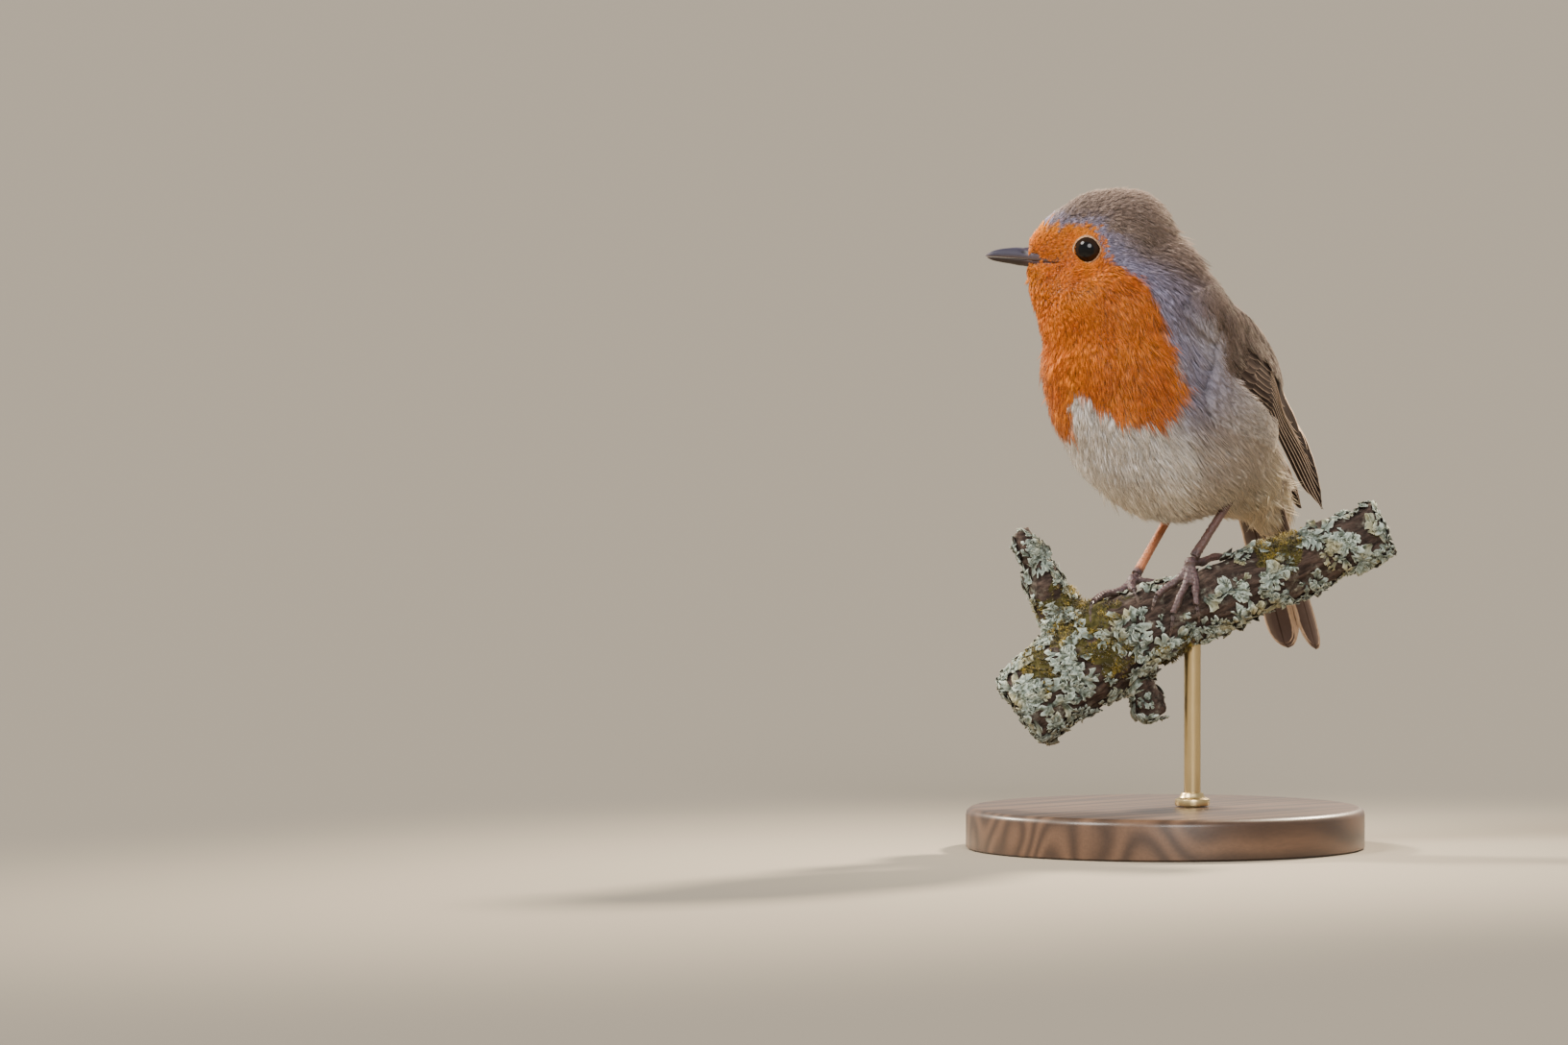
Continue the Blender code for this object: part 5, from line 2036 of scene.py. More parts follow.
@dataclass
class Bill:
    """Both mandibles: pointed horn that widens back over the face to the corners of the gape."""

    skin: Skin
    stations: int = 84
    columns: int = 17
    on_face: float = 0.42  # how far the gape stands out of the skin
    face_ends: float = 18.4
    buried: float = 19.8  # how far forward the horn's root is hidden under the feathers
    seam: float = 0.06
    beside: float = 14.0  # how far to the side the search for the skin starts
    evening: int = 4  # rounds that even out the half widths
    lower_share: float = 0.93  # width of the lower mandible, as a share of the upper one's
    nostril: Band = (19.9, 0.12)
    nostril_size: Band = (1.0, 0.26)

    def build(self) -> None:
        """Makes both mandibles."""
        finish = HornFinish("bill_horn").material()
        self._mandible("bill_upper_horn", BILL.top, 1.0, 1.0, "bill_upper", finish)
        self._mandible("bill_lower_horn", BILL.bottom, -1.0, self.lower_share, "bill_lower", finish)

    def _reach(self, forward: Array, up: Array) -> Array:
        """Half the gape's width: the horn's own in front, and just out of the skin over the face.

        Args:
            forward: How far forward each station is.
            up: How high it is.

        Returns:
            One half width for each station.
        """
        own = through(BILL.half, forward)
        for number, (ahead, height) in enumerate(zip(forward.tolist(), up.tolist())):
            if ahead > self.face_ends:
                continue
            start = HEAD.at(ahead, self.beside, height)
            hit = self.skin.surface.tree.ray_cast(Vector(start), Vector(-HEAD.left))[0]
            if hit:
                own[number] = max(HEAD.of(np.array(hit))[1] + self.on_face, own[number] * 0.5)
        for _ in range(self.evening):
            own[1:-1] = (own[:-2] + 2.0 * own[1:-1] + own[2:]) / 4.0
        return own

    def _mandible(
        self, name: str, edge: Curve, sign: float, share: float, node: str, finish: Material
    ) -> None:
        """Shapes one mandible.

        Args:
            name: The piece's name.
            edge: Its outline away from the parting.
            sign: 1 for the upper and -1 for the lower.
            share: Its width as a share of the gape's.
            node: The solid that it replaces.
            finish: Its material.
        """
        ends = (edge[0][0], edge[-1][0])
        along = ends[1] - (ends[1] - ends[0]) * (1.0 - np.linspace(0.0, 1.0, self.stations)) ** 1.25
        parting = through(BILL.parting, along) + sign * self.seam
        outline = through(edge, along)
        root = through(BILL.ridge if sign > 0.0 else BILL.keel, along)
        outline = np.where(along < self.buried, root, outline)
        height = (outline - parting) * sign
        half = self._reach(along, parting) * share
        turn = np.linspace(0.0, math.pi, self.columns)
        arch = np.maximum(np.sin(turn), 0.0) ** 0.85
        left = half[:, None] * np.cos(turn)
        up = parting[:, None] + sign * height[:, None] * arch
        inner = turn[1:-1][::-1]
        inner_left = half[:, None] * np.cos(inner) * 0.90
        inner_up = parting[:, None] + sign * height[:, None] * 0.28 * np.sin(inner)
        forward = np.broadcast_to(along[:, None], (len(along), 2 * self.columns - 2))
        left = np.concatenate([left, inner_left], 1)
        up = np.concatenate([up, inner_up], 1)
        # the nostril: a slight dent, with painted shade in it
        ahead, above = self.nostril
        long, tall = self.nostril_size
        pit = np.exp(-(((forward - ahead) / long) ** 2) - (((up - above) / tall) ** 2)) * (sign > 0.0)
        left = left * (1.0 - 0.16 * pit)
        points, faces = loft(HEAD.at(forward, left, up))
        mesh = new_mesh(name, points, faces)
        level = (up - parting[:, None]) * sign / np.maximum(height[:, None], 0.05)
        worn = 0.45 * smooth(27.2, 29.1, forward)
        layers = {
            # ridge: the upper mandible's top, where the slate horn carries a painted bluish reflection of the
            # sky
            "ridge": (sign > 0.0) * smooth(0.05, 0.45, level),
            "gape": smooth(21.5, 15.5, forward) * (0.9 if sign < 0.0 else 0.55),
            "edge": np.maximum(0.75 * smooth(0.30, 0.02, level) * (sign > 0.0), worn),
            # pit: where the nostril's painted shade lies
            "pit": smooth(0.45, 0.85, pit),
        }
        paint(mesh, **{key: with_ends(values) for key, values in layers.items()})
        place_piece(name, mesh, finish, (node,))


@dataclass(frozen=True)
class EyeFinish(Finish):
    """A wet eye: a dark brown iris round a black pupil."""

    name: str
    pupil: Colour = (0.003, 0.003, 0.0035)
    iris: tuple[Colour, Colour] = ((0.010, 0.0045, 0.002), (0.022, 0.010, 0.004))
    iris_from: Band = (1.75, 2.05)

    def sockets(self, graph: Graph) -> dict:
        """Gives the surface's sockets.

        Args:
            graph: The material's graph.

        Returns:
            Values or wires by socket name.
        """
        brown = graph.mix(*self.iris, graph.noise(0.35, 3.0))
        colour = graph.mix(self.pupil, brown, graph.number("off_axis").rise(*self.iris_from))
        return {"Base Color": colour, "Roughness": 0.05, "Specular IOR Level": 0.26}


@dataclass(frozen=True)
class LidFinish(Finish):
    """Bare pale skin with a fine grain."""

    name: str
    skin: tuple[Colour, Colour] = ((0.24, 0.125, 0.065), (0.55, 0.36, 0.21))

    def sockets(self, graph: Graph) -> dict:
        """Gives the surface's sockets.

        Args:
            graph: The material's graph.

        Returns:
            Values or wires by socket name.
        """
        return {
            "Base Color": graph.mix(*self.skin, graph.noise(0.5, 3.0).rise(0.3, 0.7)),
            "Roughness": 0.55,
            "Normal": graph.bump(graph.noise(0.22, 2.0), 0.05, 0.6),
        }


@dataclass
class Eye:
    """One glossy eye and the bare ring of lid round it."""

    side: Side
    shown: float = 2.98  # radius of the part of the ball that shows
    turned: float = 0.16  # how far the eye looks forwards, in radians
    set_back: float = 0.3
    lid: Curve = (  # the lid's section: how far from the eye's axis, and how far out
        (2.95, -0.40), (2.94, -0.03), (2.98, 0.07), (3.08, 0.08), (3.20, -0.04), (3.36, -0.34),
        (3.62, -0.75), (3.95, -1.50), (3.7, -1.9),
    )
    ball_rings: int = 48
    ball_steps: int = 64
    steps: int = 96  # round the lid
    beads: int = 34
    bead: float = 0.035

    def build(self) -> None:
        """Makes the ball and the lids."""
        name = self.side.name.lower()
        node = f"eye_{name}"
        low, high = (np.array(c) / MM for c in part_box(node))
        self.centre = HEAD.eyes[self.side.value] - HEAD.forward * self.set_back
        self.radius = float(high[2] - low[2]) * 0.5
        self._ball(name, node)
        self._lids(name)

    def _axis(self) -> Array:
        """The direction in which the eye looks."""
        return HEAD.left * self.side.value * math.cos(self.turned) + HEAD.forward * math.sin(self.turned)

    def _ball(self, name: str, node: str) -> None:
        """Makes the ball, with a dark brown iris round the pupil.

        Args:
            name: The side's name.
            node: The solid that it replaces.
        """
        turn = np.linspace(0.0, math.pi, self.ball_rings + 2)[1:-1]
        ring = np.linspace(0.0, TURN, self.ball_steps, endpoint=False)
        out = np.cos(turn)[:, None] * self.radius
        wide = np.sin(turn)[:, None] * self.radius
        rings = self._round(out * np.ones_like(ring), wide * np.ones_like(ring), ring)
        mesh = new_mesh(f"eyeball_{name}", *loft(rings))
        paint(mesh, off_axis=with_ends(np.where(out > 0.0, wide, 9.0) * np.ones_like(ring)))
        place_piece(mesh.name, mesh, EyeFinish(f"eye_{name}").material(), (node,))

    def _round(self, out: Array, wide: Array, turn: Array) -> Array:
        """Finds places about the eye's axis.

        Args:
            out: Distances along the eye's axis.
            wide: Distances away from it.
            turn: Angles about it.

        Returns:
            The places.
        """
        ahead = unit(HEAD.forward - (HEAD.forward @ self._axis()) * self._axis())
        away = np.cos(turn)[..., None] * ahead + np.sin(turn)[..., None] * UP
        return self.centre + out[..., None] * self._axis() + wide[..., None] * away

    def _lids(self, name: str) -> None:
        """Makes the ring of lid, drawn out a little behind, with a beaded rim.

        Args:
            name: The side's name.
        """
        turn = np.linspace(0.0, TURN, self.steps, endpoint=False)
        level = math.sqrt(self.radius**2 - self.shown**2)
        corner = 0.10 * np.exp(-((np.abs(turn - math.pi) / 0.35) ** 2))
        corner = corner + 0.05 * np.exp(-((np.sin(turn / 2.0) / 0.2) ** 2))
        beads = self.bead * np.sin(turn * self.beads)
        rings = []
        for number, (wide, out) in enumerate(self.lid):
            rim = beads * (1 <= number <= 4)
            rings.append(self._round(level + out + rim, wide * (1.0 + corner) + rim * 0.4, turn))
        mesh = new_mesh(f"eyelids_{name}", *loft(np.stack(rings, 1), wrapped=True))
        place_piece(mesh.name, mesh, LidFinish(f"lids_{name}").material())


@dataclass(frozen=True)
class ScaleFinish(Finish):
    """Scaly skin: glossy scutes in front, paler soles and a shin with a colour of its own, painted brighter
    on the right leg as a glow of the light from behind that shines through it.
    """

    name: str
    # the shin's colour; on the right leg it is a painted glow of the light from behind
    shank_colour_and_painted_glow: Colour
    scutes: tuple[Colour, Colour] = ((0.038, 0.021, 0.023), (0.098, 0.055, 0.058))
    sole: Colour = (0.16, 0.11, 0.08)

    def sockets(self, graph: Graph) -> dict:
        """Gives the surface's sockets.

        Args:
            graph: The material's graph.

        Returns:
            Values or wires by socket name.
        """
        cloud, fine = graph.noise(1.3, 4.0), graph.noise(0.20, 3.0)
        colour = graph.mix(*self.scutes, graph.number("scute") * (0.55 + 0.6 * cloud))
        # the right leg's shin colour is a painted glow of the light from behind
        colour = graph.mix(colour, self.shank_colour_and_painted_glow, graph.number("shin") * (0.7 + 0.4 * cloud))
        colour = graph.mix(colour, self.sole, (1.0 - graph.number("upper")) * 0.25)
        return {
            "Base Color": graph.tint(colour, 0.72 + 0.5 * fine),
            "Roughness": 0.40 + 0.25 * fine,
            "Specular IOR Level": 0.45,
            "Subsurface Weight": 0.12,
            "Subsurface Radius": (0.0012, 0.0004, 0.0002),
            "Subsurface Scale": 1.0,
            "Normal": graph.bump(fine + 0.6 * cloud, 0.07, 0.7),
        }


@dataclass
class Leg:
    """One bare leg and foot with scutes in front, and its four claws."""

    side: Side
    voxel: float = 0.17
    swell: float = 0.20
    smoothing: int = 5
    pitch: float = 0.95  # from one scute to the next
    toe_joint: float = 4.3
    scute_height: float = 0.11
    pad_height: float = 0.20
    groove_depth: float = 0.12
    toes: tuple[str, ...] = ("hallux", "inner", "middle", "outer")
    shank_colours_and_painted_glow: tuple[Colour, Colour] = ((0.125, 0.066, 0.056), (0.520, 0.190, 0.085))  # the left leg's own colour, and the right's, painted brighter as a glow of the light from behind that shines through it
    claw_ridge: Colour = (0.070, 0.050, 0.052)
    claw_below: Colour = (0.13, 0.09, 0.075)

    def build(self) -> None:
        """Makes the leg with its foot, then the claws."""
        side = self.side.name.lower()
        names = (f"leg_{side}", f"foot_{side}")
        leg = corners_of(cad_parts[names[0]].data)
        ankle = leg[leg[:, 2] < leg[:, 2].min() + 1.0].mean(0)
        mesh = reshaped(names, self.voxel, self.swell, self.smoothing)
        mesh.name = f"leg_and_foot_{side}"
        points, faces = corners_of(mesh), triangles_of(mesh)
        normals = vertex_normals(points, faces, 1)
        away = points - ankle
        reach = np.linalg.norm(away, axis=1)
        shin = unit(leg.mean(0) - ankle)
        on_shin = smooth(0.6, 2.6, away @ shin)
        ahead = across(np.array([[-1.0, 0.0, 0.2]]), shin[None])[0]
        upper = smooth(-0.2, 0.45, blend(normals[:, 2:3], (normals @ ahead)[:, None], on_shin)[:, 0])
        wave = reach / self.pitch * (1.0 - 0.42 * on_shin)
        scute = 1.0 - np.abs(2.0 * (wave - np.floor(wave)) - 1.0) ** 5
        pads = np.maximum(np.cos(TURN * reach / self.toe_joint), 0.0) * (1.0 - upper) * (1.0 - on_shin)
        groove = np.exp(-(((normals @ ahead + 0.05) / 0.16) ** 2)) * on_shin
        grow = self.scute_height * scute * upper + self.pad_height * pads - self.groove_depth * groove
        grow = grow - self.swell * 0.75 + 0.05 * ripples(points, 0.9, 5)
        points = points + normals * grow[:, None]
        move_corners(mesh, points)
        paint(mesh, scute=scute * upper, upper=upper, shin=on_shin)
        # the right leg takes the colour with the painted glow of light from behind
        finish = ScaleFinish(f"leg_skin_{side}", self.shank_colours_and_painted_glow[self.side is Side.RIGHT])
        place_piece(mesh.name, mesh, finish.material(), names)
        horn = HornFinish(f"claws_{side}", self.claw_ridge, self.claw_below).material()
        for toe in self.toes:
            self._claw(f"claw_{side}_{toe}", horn)

    @staticmethod
    def _claw(node: str, finish: Material) -> None:
        """Rounds one claw's solid into smooth horn.

        Args:
            node: The claw's solid.
            finish: Its material.
        """
        mesh = modified(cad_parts[node].data.copy(), ("SUBSURF", {"levels": 2}))
        mesh.name = f"{node}_horn"
        points = corners_of(mesh)
        low, high = points[:, 2].min(), points[:, 2].max()
        paint(mesh, ridge=smooth(low, high, points[:, 2]))
        paint(mesh, **{key: np.zeros(len(points)) for key in ("gape", "edge", "pit")})
        place_piece(mesh.name, mesh, finish, (node,))


# ---------------------------------------------------------------- the perch


GRAIN_SCALE = 0.1  # of the places, stretched along the wood, that the bark keeps as a colour


@dataclass(frozen=True)
class BarkFinish(Finish):
    """Grey-brown furrowed bark, crusted with pale and green growth, with painted shade in its furrows, and
    clean wood where it is cut.
    """

    name: str = "bark"
    bark: tuple[Colour, Colour] = ((0.016, 0.010, 0.008), (0.082, 0.054, 0.043))
    grey_crust: Colour = (0.110, 0.092, 0.074)
    pale_crust: Colour = (0.25, 0.25, 0.205)
    green: Colour = (0.080, 0.070, 0.018)
    wood: tuple[Colour, Colour] = ((0.36, 0.25, 0.15), (0.52, 0.39, 0.25))

    def sockets(self, graph: Graph) -> dict:
        """Gives the surface's sockets.

        Args:
            graph: The material's graph.

        Returns:
            Values or wires by socket name.
        """
        stored = {0: graph.colour("grain"), 3: 1.0 / GRAIN_SCALE}
        grain = graph.node("ShaderNodeVectorMath", {"operation": "SCALE"}, stored)
        fibre = graph.noise(0.9, 6.0, grain, 0.65)
        crust, spots = graph.noise(3.6, 7.0, None, 0.68), graph.noise(1.1, 5.0, None, 0.6)
        colour = graph.mix(*self.bark, (fibre * 1.3 - 0.15).rise(0.25, 0.75))
        colour = graph.mix(colour, self.grey_crust, crust.rise(0.52, 0.60) * 0.7)
        colour = graph.mix(colour, self.pale_crust, crust.rise(0.60, 0.64) * spots.rise(0.40, 0.6))
        mossy = (graph.number("mossy") * (0.4 + spots)).rise(0.30, 0.62)
        colour = graph.mix(colour, self.green, mossy * 0.9)
        wood = graph.mix(*self.wood, graph.noise(1.6, 4.0))
        colour = graph.mix(colour, wood, graph.number("cut").rise(0.35, 0.65))
        return {
            # painted shade: the furrows are darker and the ridges lighter
            "Base Color": graph.tint(colour, 0.66 + 0.45 * graph.number("ridge").rise(0.1, 0.9)),
            "Roughness": 0.86,
            "Specular IOR Level": 0.22,
            "Normal": graph.bump(fibre + 0.8 * crust + 0.35 * graph.noise(0.35, 4.0), 0.42, 0.85),
        }


@dataclass(frozen=True)
class LichenFinish(Finish):
    """Leafy lichen: grey-green above with pale rims, dark below, and painted shade that darkens each lobe
    towards its root.
    """

    name: str = "leafy_lichen"
    leaf: tuple[Colour, Colour] = ((0.100, 0.118, 0.082), (0.320, 0.385, 0.345))
    rim: Colour = (0.47, 0.52, 0.45)
    ochre: Colour = (0.34, 0.27, 0.10)
    under: Colour = (0.060, 0.044, 0.034)

    def sockets(self, graph: Graph) -> dict:
        """Gives the surface's sockets.

        Args:
            graph: The material's graph.

        Returns:
            Values or wires by socket name.
        """
        cloud, fine, rim = graph.noise(1.5, 5.0), graph.noise(0.35, 4.0, None, 0.65), graph.number("rim")
        colour = graph.mix(*self.leaf, cloud.rise(0.36, 0.58))
        colour = graph.mix(colour, self.rim, rim.rise(0.72, 1.0) * fine.rise(0.35, 0.6))
        colour = graph.mix(colour, self.ochre, graph.noise(6.0, 3.0).rise(0.52, 0.68) * 0.55)
        colour = graph.mix(self.under, colour, graph.number("face"))
        # painted shade: each lobe is darkened towards its root, where the lobes crowd and overlap, and
        # lighter at its rim
        shade = (1.0 + graph.number("tone")) * (0.10 + 0.28 * fine + 0.85 * rim)
        return {
            "Base Color": graph.tint(colour, shade),
            "Roughness": 0.82,
            "Specular IOR Level": 0.2,
            "Normal": graph.bump(fine, 0.12, 0.7),
        }


@dataclass(frozen=True)
class MossFinish(Finish):
    """Olive and golden moss, painted darker at the foot of each shoot, as shade deep in the cushion, and
    lighter at its tip.
    """

    name: str = "moss"
    leaf: tuple[Colour, Colour] = ((0.060, 0.046, 0.007), (0.330, 0.235, 0.020))

    def sockets(self, graph: Graph) -> dict:
        """Gives the surface's sockets.

        Args:
            graph: The material's graph.

        Returns:
            Values or wires by socket name.
        """
        colour = graph.mix(*self.leaf, graph.noise(3.5, 4.0).rise(0.38, 0.66))
        return {
            "Base Color": graph.tint(colour, 1.0 + graph.number("tone")),
            "Roughness": 0.75,
            "Specular IOR Level": 0.25,
            "Sheen Weight": 0.2,
        }


@dataclass
class Perch:
    """The cut branch: furrowed bark, leafy lichens in rosettes and cushions of moss."""

    axis: Triple = (0.651, -0.651, 0.391)
    voxel: float = 0.5
    smoothing: int = 5
    ends: Band = (-41.0, 56.0)  # where the cut faces are, measured along the branch's level heading
    lump: float = 0.55
    ridge: float = 0.38
    furrow: float = 0.16
    lump_wave: float = 11.0
    ridge_wave: float = 3.4
    furrow_wave: float = 1.5
    drawn_out: float = 0.72  # how far the furrows are drawn out along the wood
    bark_sunk: float = 0.25
    below_toes: float = 0.15  # how far the bark is lowered where a toe grips it
    rosettes: int = 290
    lobe_length: float = 3.5
    lobes: tuple[int, int] = (6, 11)
    lobe_grid: tuple[int, int] = (5, 9)
    lobe_half: float = 0.10  # half the thickness of a lobe
    fork_width: float = 0.24
    curl: Band = (0.05, 0.75)
    moss_tufts: int = 3600
    moss_leaves: int = 5
    moss_height: Band = (0.7, 1.7)
    moss_lean: Band = (0.15, 0.95)
    shoot_length: float = 0.62  # as a share of the cushion's height
    shoot_half: float = 0.13
    shoot_depth: float = 0.16
    tone_spread: float = 0.16
    clear_of_toes: float = 1.5
    clear_of_body: float = 1.0
    seed: int = 61
    moss_beds: tuple[Triple, ...] = (  # how far along, how high and how wide each is
        (-21.0, 56.0, 12.0),
        (-17.0, 67.0, 6.5),
        (26.0, 72.5, 8.0),
        (-30.0, 44.0, 6.0),
        (4.0, 46.0, 8.0),
        (-14.0, 48.0, 8.0),
    )

    def build(self) -> None:
        """Makes the bark, the lichens and the moss."""
        self.dice = np.random.default_rng(self.seed)
        names = [f"{kind}_{side}" for side in ("left", "right") for kind in ("foot", "leg")]
        self.feet = node_tree(*names, *(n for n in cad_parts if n.startswith("claw_")))
        self.body = node_tree("trunk", "tail", "wing_left", "wing_right")
        self._bark()
        self._lichens()
        self._moss()

    def _bark(self) -> None:
        """Shapes the bark with lumps, furrows and cut ends."""
        mesh = reshaped(("perch_branch",), self.voxel, 0.0, self.smoothing)
        mesh.name = "branch_bark"
        points, faces = corners_of(mesh), triangles_of(mesh)
        normals = vertex_normals(points, faces, 2)
        axis = unit(np.array(self.axis))
        grain = points - (points @ axis)[:, None] * axis * self.drawn_out
        ridges = 1.0 - np.abs(ripples(grain, self.ridge_wave, 71))
        grow = self.lump * ripples(points, self.lump_wave, 72) + self.ridge * ridges
        grow = grow + self.furrow * ripples(grain, self.furrow_wave, 73) - self.bark_sunk
        level = self._level(points)
        ends = smooth(3.0, 1.0, level - self.ends[0]) + smooth(3.0, 1.0, self.ends[1] - level)
        cut = smooth(0.80, 0.93, np.abs(normals @ axis)) * ends
        gap = np.array([self.feet.find_nearest(p, 3.0)[3] or 3.0 for p in points.tolist()])
        grow = np.where(cut > 0.5, -0.05, grow)
        sunk = np.minimum(grow, -self.below_toes)
        grow = blend(sunk[:, None], grow[:, None], smooth(0.8, 2.6, gap))[:, 0]
        points = points + normals * grow[:, None]
        move_corners(mesh, points)
        mossy = self._mossy(points)
        paint(mesh, cut=np.clip(cut, 0.0, 1.0), grain=grain * GRAIN_SCALE, ridge=ridges, mossy=mossy)
        place_piece(mesh.name, mesh, BarkFinish().material(), ("perch_branch",))
        self.surface = Surface(points, faces, 3)
        self.cut = cut

    @staticmethod
    def _level(points: Array) -> Array:
        """How far along the branch's level heading each place lies."""
        return (points[:, 0] - points[:, 1]) * math.sqrt(0.5)

    def _mossy(self, points: Array) -> Array:
        """How mossy each place is, from 0 to 1.

        Args:
            points: Places on the bark.

        Returns:
            One share for each place.
        """
        total = np.zeros(len(points))
        for right, height, wide in self.moss_beds:
            away = np.hypot(self._level(points) - right, points[:, 2] - height)
            away = away + 0.25 * wide * ripples(points, 4.0, 75)
            total = np.maximum(total, smooth(wide, wide * 0.45, away))
        return total

    def _roots(self, wish: Array, count: int) -> tuple[Array, Array]:
        """Picks places on the bark.

        Args:
            wish: The wished density on each triangle.
            count: How many are picked.

        Returns:
            The places and the normals there.
        """
        weight = self.surface.areas * wish
        picks = self.dice.choice(len(weight), count, p=weight / weight.sum())
        return self.surface.on_triangles(picks, self.dice.dirichlet((1.0, 1.0, 1.0), count))

    def _lichens(self) -> None:
        """Spreads rosettes of leafy lichen, whose lobes creep outwards and curl up at their rims."""
        middle = self.surface.middles
        cut = np.clip(self.cut[self.surface.faces].mean(1), 0.0, 1.0)
        wish = (1.0 - 0.85 * self._mossy(middle)) * (1.0 - cut)
        wish = wish * (0.35 + smooth(-0.6, 0.6, ripples(middle, 13.0, 81)))
        wish = wish * (1.0 + 0.8 * smooth(-20.0, -34.0, self._level(middle)))
        roots, normals = self._roots(np.maximum(wish, 0.0), self.rosettes)
        sheets, tones = [], []
        for root, normal in zip(roots, normals):
            size = self.lobe_length * self.dice.uniform(0.50, 1.30)
            count = int(self.dice.integers(*self.lobes))
            first = self.dice.uniform(0.0, TURN)
            tone = self.dice.normal(0.0, 0.10)
            for k in range(count):
                turn = first + (k + self.dice.uniform(-0.8, 0.8)) * TURN / count
                away = across(self.dice.normal(0.0, 1.0, 3), normal) * size
                start = root + away * self.dice.uniform(0.0, 0.8)
                sheet = self._lobe(start, normal, turn, size * self.dice.uniform(0.6, 1.25))
                if sheet is not None:
                    sheets.append(sheet)
                    tones.append(tone + self.dice.normal(0.0, 0.05))
        half = len(sheets) // 2
        finish = LichenFinish().material()
        for letter, part in (("a", slice(half)), ("b", slice(half, None))):
            self._sheets_piece(f"lichen_rosettes_{letter}", sheets[part], np.array(tones[part]), finish)

    def _lobe(self, root: Array, normal: Array, turn: float, length: float) -> Array | None:
        """Lays out one lobe: a fan with a notched, upturned rim.

        Args:
            root: The rosette's middle.
            normal: The bark's normal there.
            turn: Which way the lobe grows.
            length: How long it is.

        Returns:
            Upper and lower places in one grid, or nothing where a toe or the tail is in the way.
        """
        side = unit(np.cross(normal, np.array(self.axis)))
        ahead = unit(np.cross(side, normal))
        way = math.cos(turn) * ahead + math.sin(turn) * side
        cross = np.cross(normal, way)
        rows, cols = self.lobe_grid
        along = np.linspace(0.0, 1.0, rows)[:, None]
        aside = np.linspace(-1.0, 1.0, cols)[None, :]
        deep, split = self.dice.uniform(0.25, 0.75), self.dice.uniform(-0.3, 0.3)
        fork = deep * np.exp(-(((aside - split) / self.fork_width) ** 2))
        far = along * length * (1.0 - (fork + 0.42 * np.abs(aside) ** 2.6) * along**1.5)
        scalloped = 1.0 + 0.12 * np.sin(along * 7.0 + turn * 5.0)
        wide = aside * length * (0.10 + 0.27 * along**1.2) * scalloped
        flat = root + far[..., None] * way + wide[..., None] * cross
        place, up = self.surface.nearest(flat.reshape(-1, 3))
        place, up = place.reshape(flat.shape), up.reshape(flat.shape)
        centre = cols // 2
        if any(self._blocked(place[row, centre] + up[row, centre] * 0.8) for row in (rows - 1, rows // 2)):
            return None
        curl = self.dice.uniform(*self.curl)
        rim = np.maximum(along**3, np.abs(aside) ** 3 * along)
        waves = 0.10 * length * np.sin(aside * 4.0 + turn * 3.0 + along * 2.0) * along
        lift = 0.12 + 0.30 * np.sin(along * math.pi) + curl * 0.38 * length * rim + waves
        return np.stack([place + up * (lift + half)[..., None] for half in (self.lobe_half, -self.lobe_half)])

    def _blocked(self, place: Array) -> bool:
        """Tells whether a toe, a claw or the bird's body is close to a place."""
        near = ((self.feet, self.clear_of_toes), (self.body, self.clear_of_body))
        return any(tree.find_nearest(Vector(place), gap)[0] for tree, gap in near)

    @staticmethod
    def _sheets_piece(name: str, sheets: list[Array], tones: Array, finish: Material) -> None:
        """Joins thin closed sheets into one piece.

        Args:
            name: The piece's name.
            sheets: Upper and lower places of each sheet.
            tones: How much lighter each sheet is.
            finish: Their material.
        """
        grid = np.array(sheets)
        count, _, rows, cols = grid.shape[:4]
        corners = 2 * rows * cols
        mesh = new_mesh(name, grid.reshape(-1, 3), repeated(sheet_faces(rows, cols), corners, count))
        away = np.linspace(0.0, 1.0, rows)[:, None]
        rim = np.maximum(away, np.abs(np.linspace(-1.0, 1.0, cols))[None] * smooth(0.0, 0.5, away))
        upper = np.tile(np.repeat((1.0, 0.0), rows * cols), count)
        paint(mesh, rim=np.tile(rim.ravel(), 2 * count), face=upper, tone=np.repeat(tones, corners))
        place_piece(name, mesh, finish)

    def _moss(self) -> None:
        """Plants cushions of short pointed moss shoots."""
        roots, normals = self._roots(self._mossy(self.surface.middles) ** 1.5 + 1e-6, self.moss_tufts)
        free = np.array([not self._blocked(r + n * 0.8) for r, n in zip(roots, normals)])
        roots, normals = roots[free], normals[free]
        count, leaves = len(roots), self.moss_leaves
        height = self.dice.uniform(*self.moss_height, count) * (0.45 + 0.55 * self._mossy(roots))
        side = unit(np.cross(normals, self.dice.normal(size=(count, 3))))
        front = np.cross(normals, side)
        turn = self.dice.uniform(0.0, TURN, (count, leaves, 1))
        lean = self.dice.uniform(*self.moss_lean, (count, leaves, 1))
        way = np.cos(turn) * side[:, None] + np.sin(turn) * front[:, None]
        level = height[:, None, None] * self.dice.uniform(-0.1, 0.6, (count, leaves, 1))
        start = roots[:, None] + normals[:, None] * level
        tip = start + (normals[:, None] + way * lean) * (height * self.shoot_length)[:, None, None]
        flank = np.cross(way, normals[:, None]) * self.shoot_half
        corners = np.stack([start + flank, start - flank, start + way * self.shoot_depth, tip], 2)
        one = np.array([(0, 1, 2), (0, 2, 3), (2, 1, 3), (1, 0, 3)])
        mesh = new_mesh("moss_cushions", corners.reshape(-1, 3), repeated(one, 4, count * leaves))
        tone = self.dice.normal(0.0, self.tone_spread, (count, leaves, 1))
        # painted shade: each shoot's foot is darker, as if shaded deep in the cushion, and its tip lighter
        tone = tone + np.array([-0.35, -0.35, -0.35, 0.25])
        paint(mesh, tone=tone.ravel())
        place_piece(mesh.name, mesh, MossFinish().material())


# ---------------------------------------------------------------- the stand


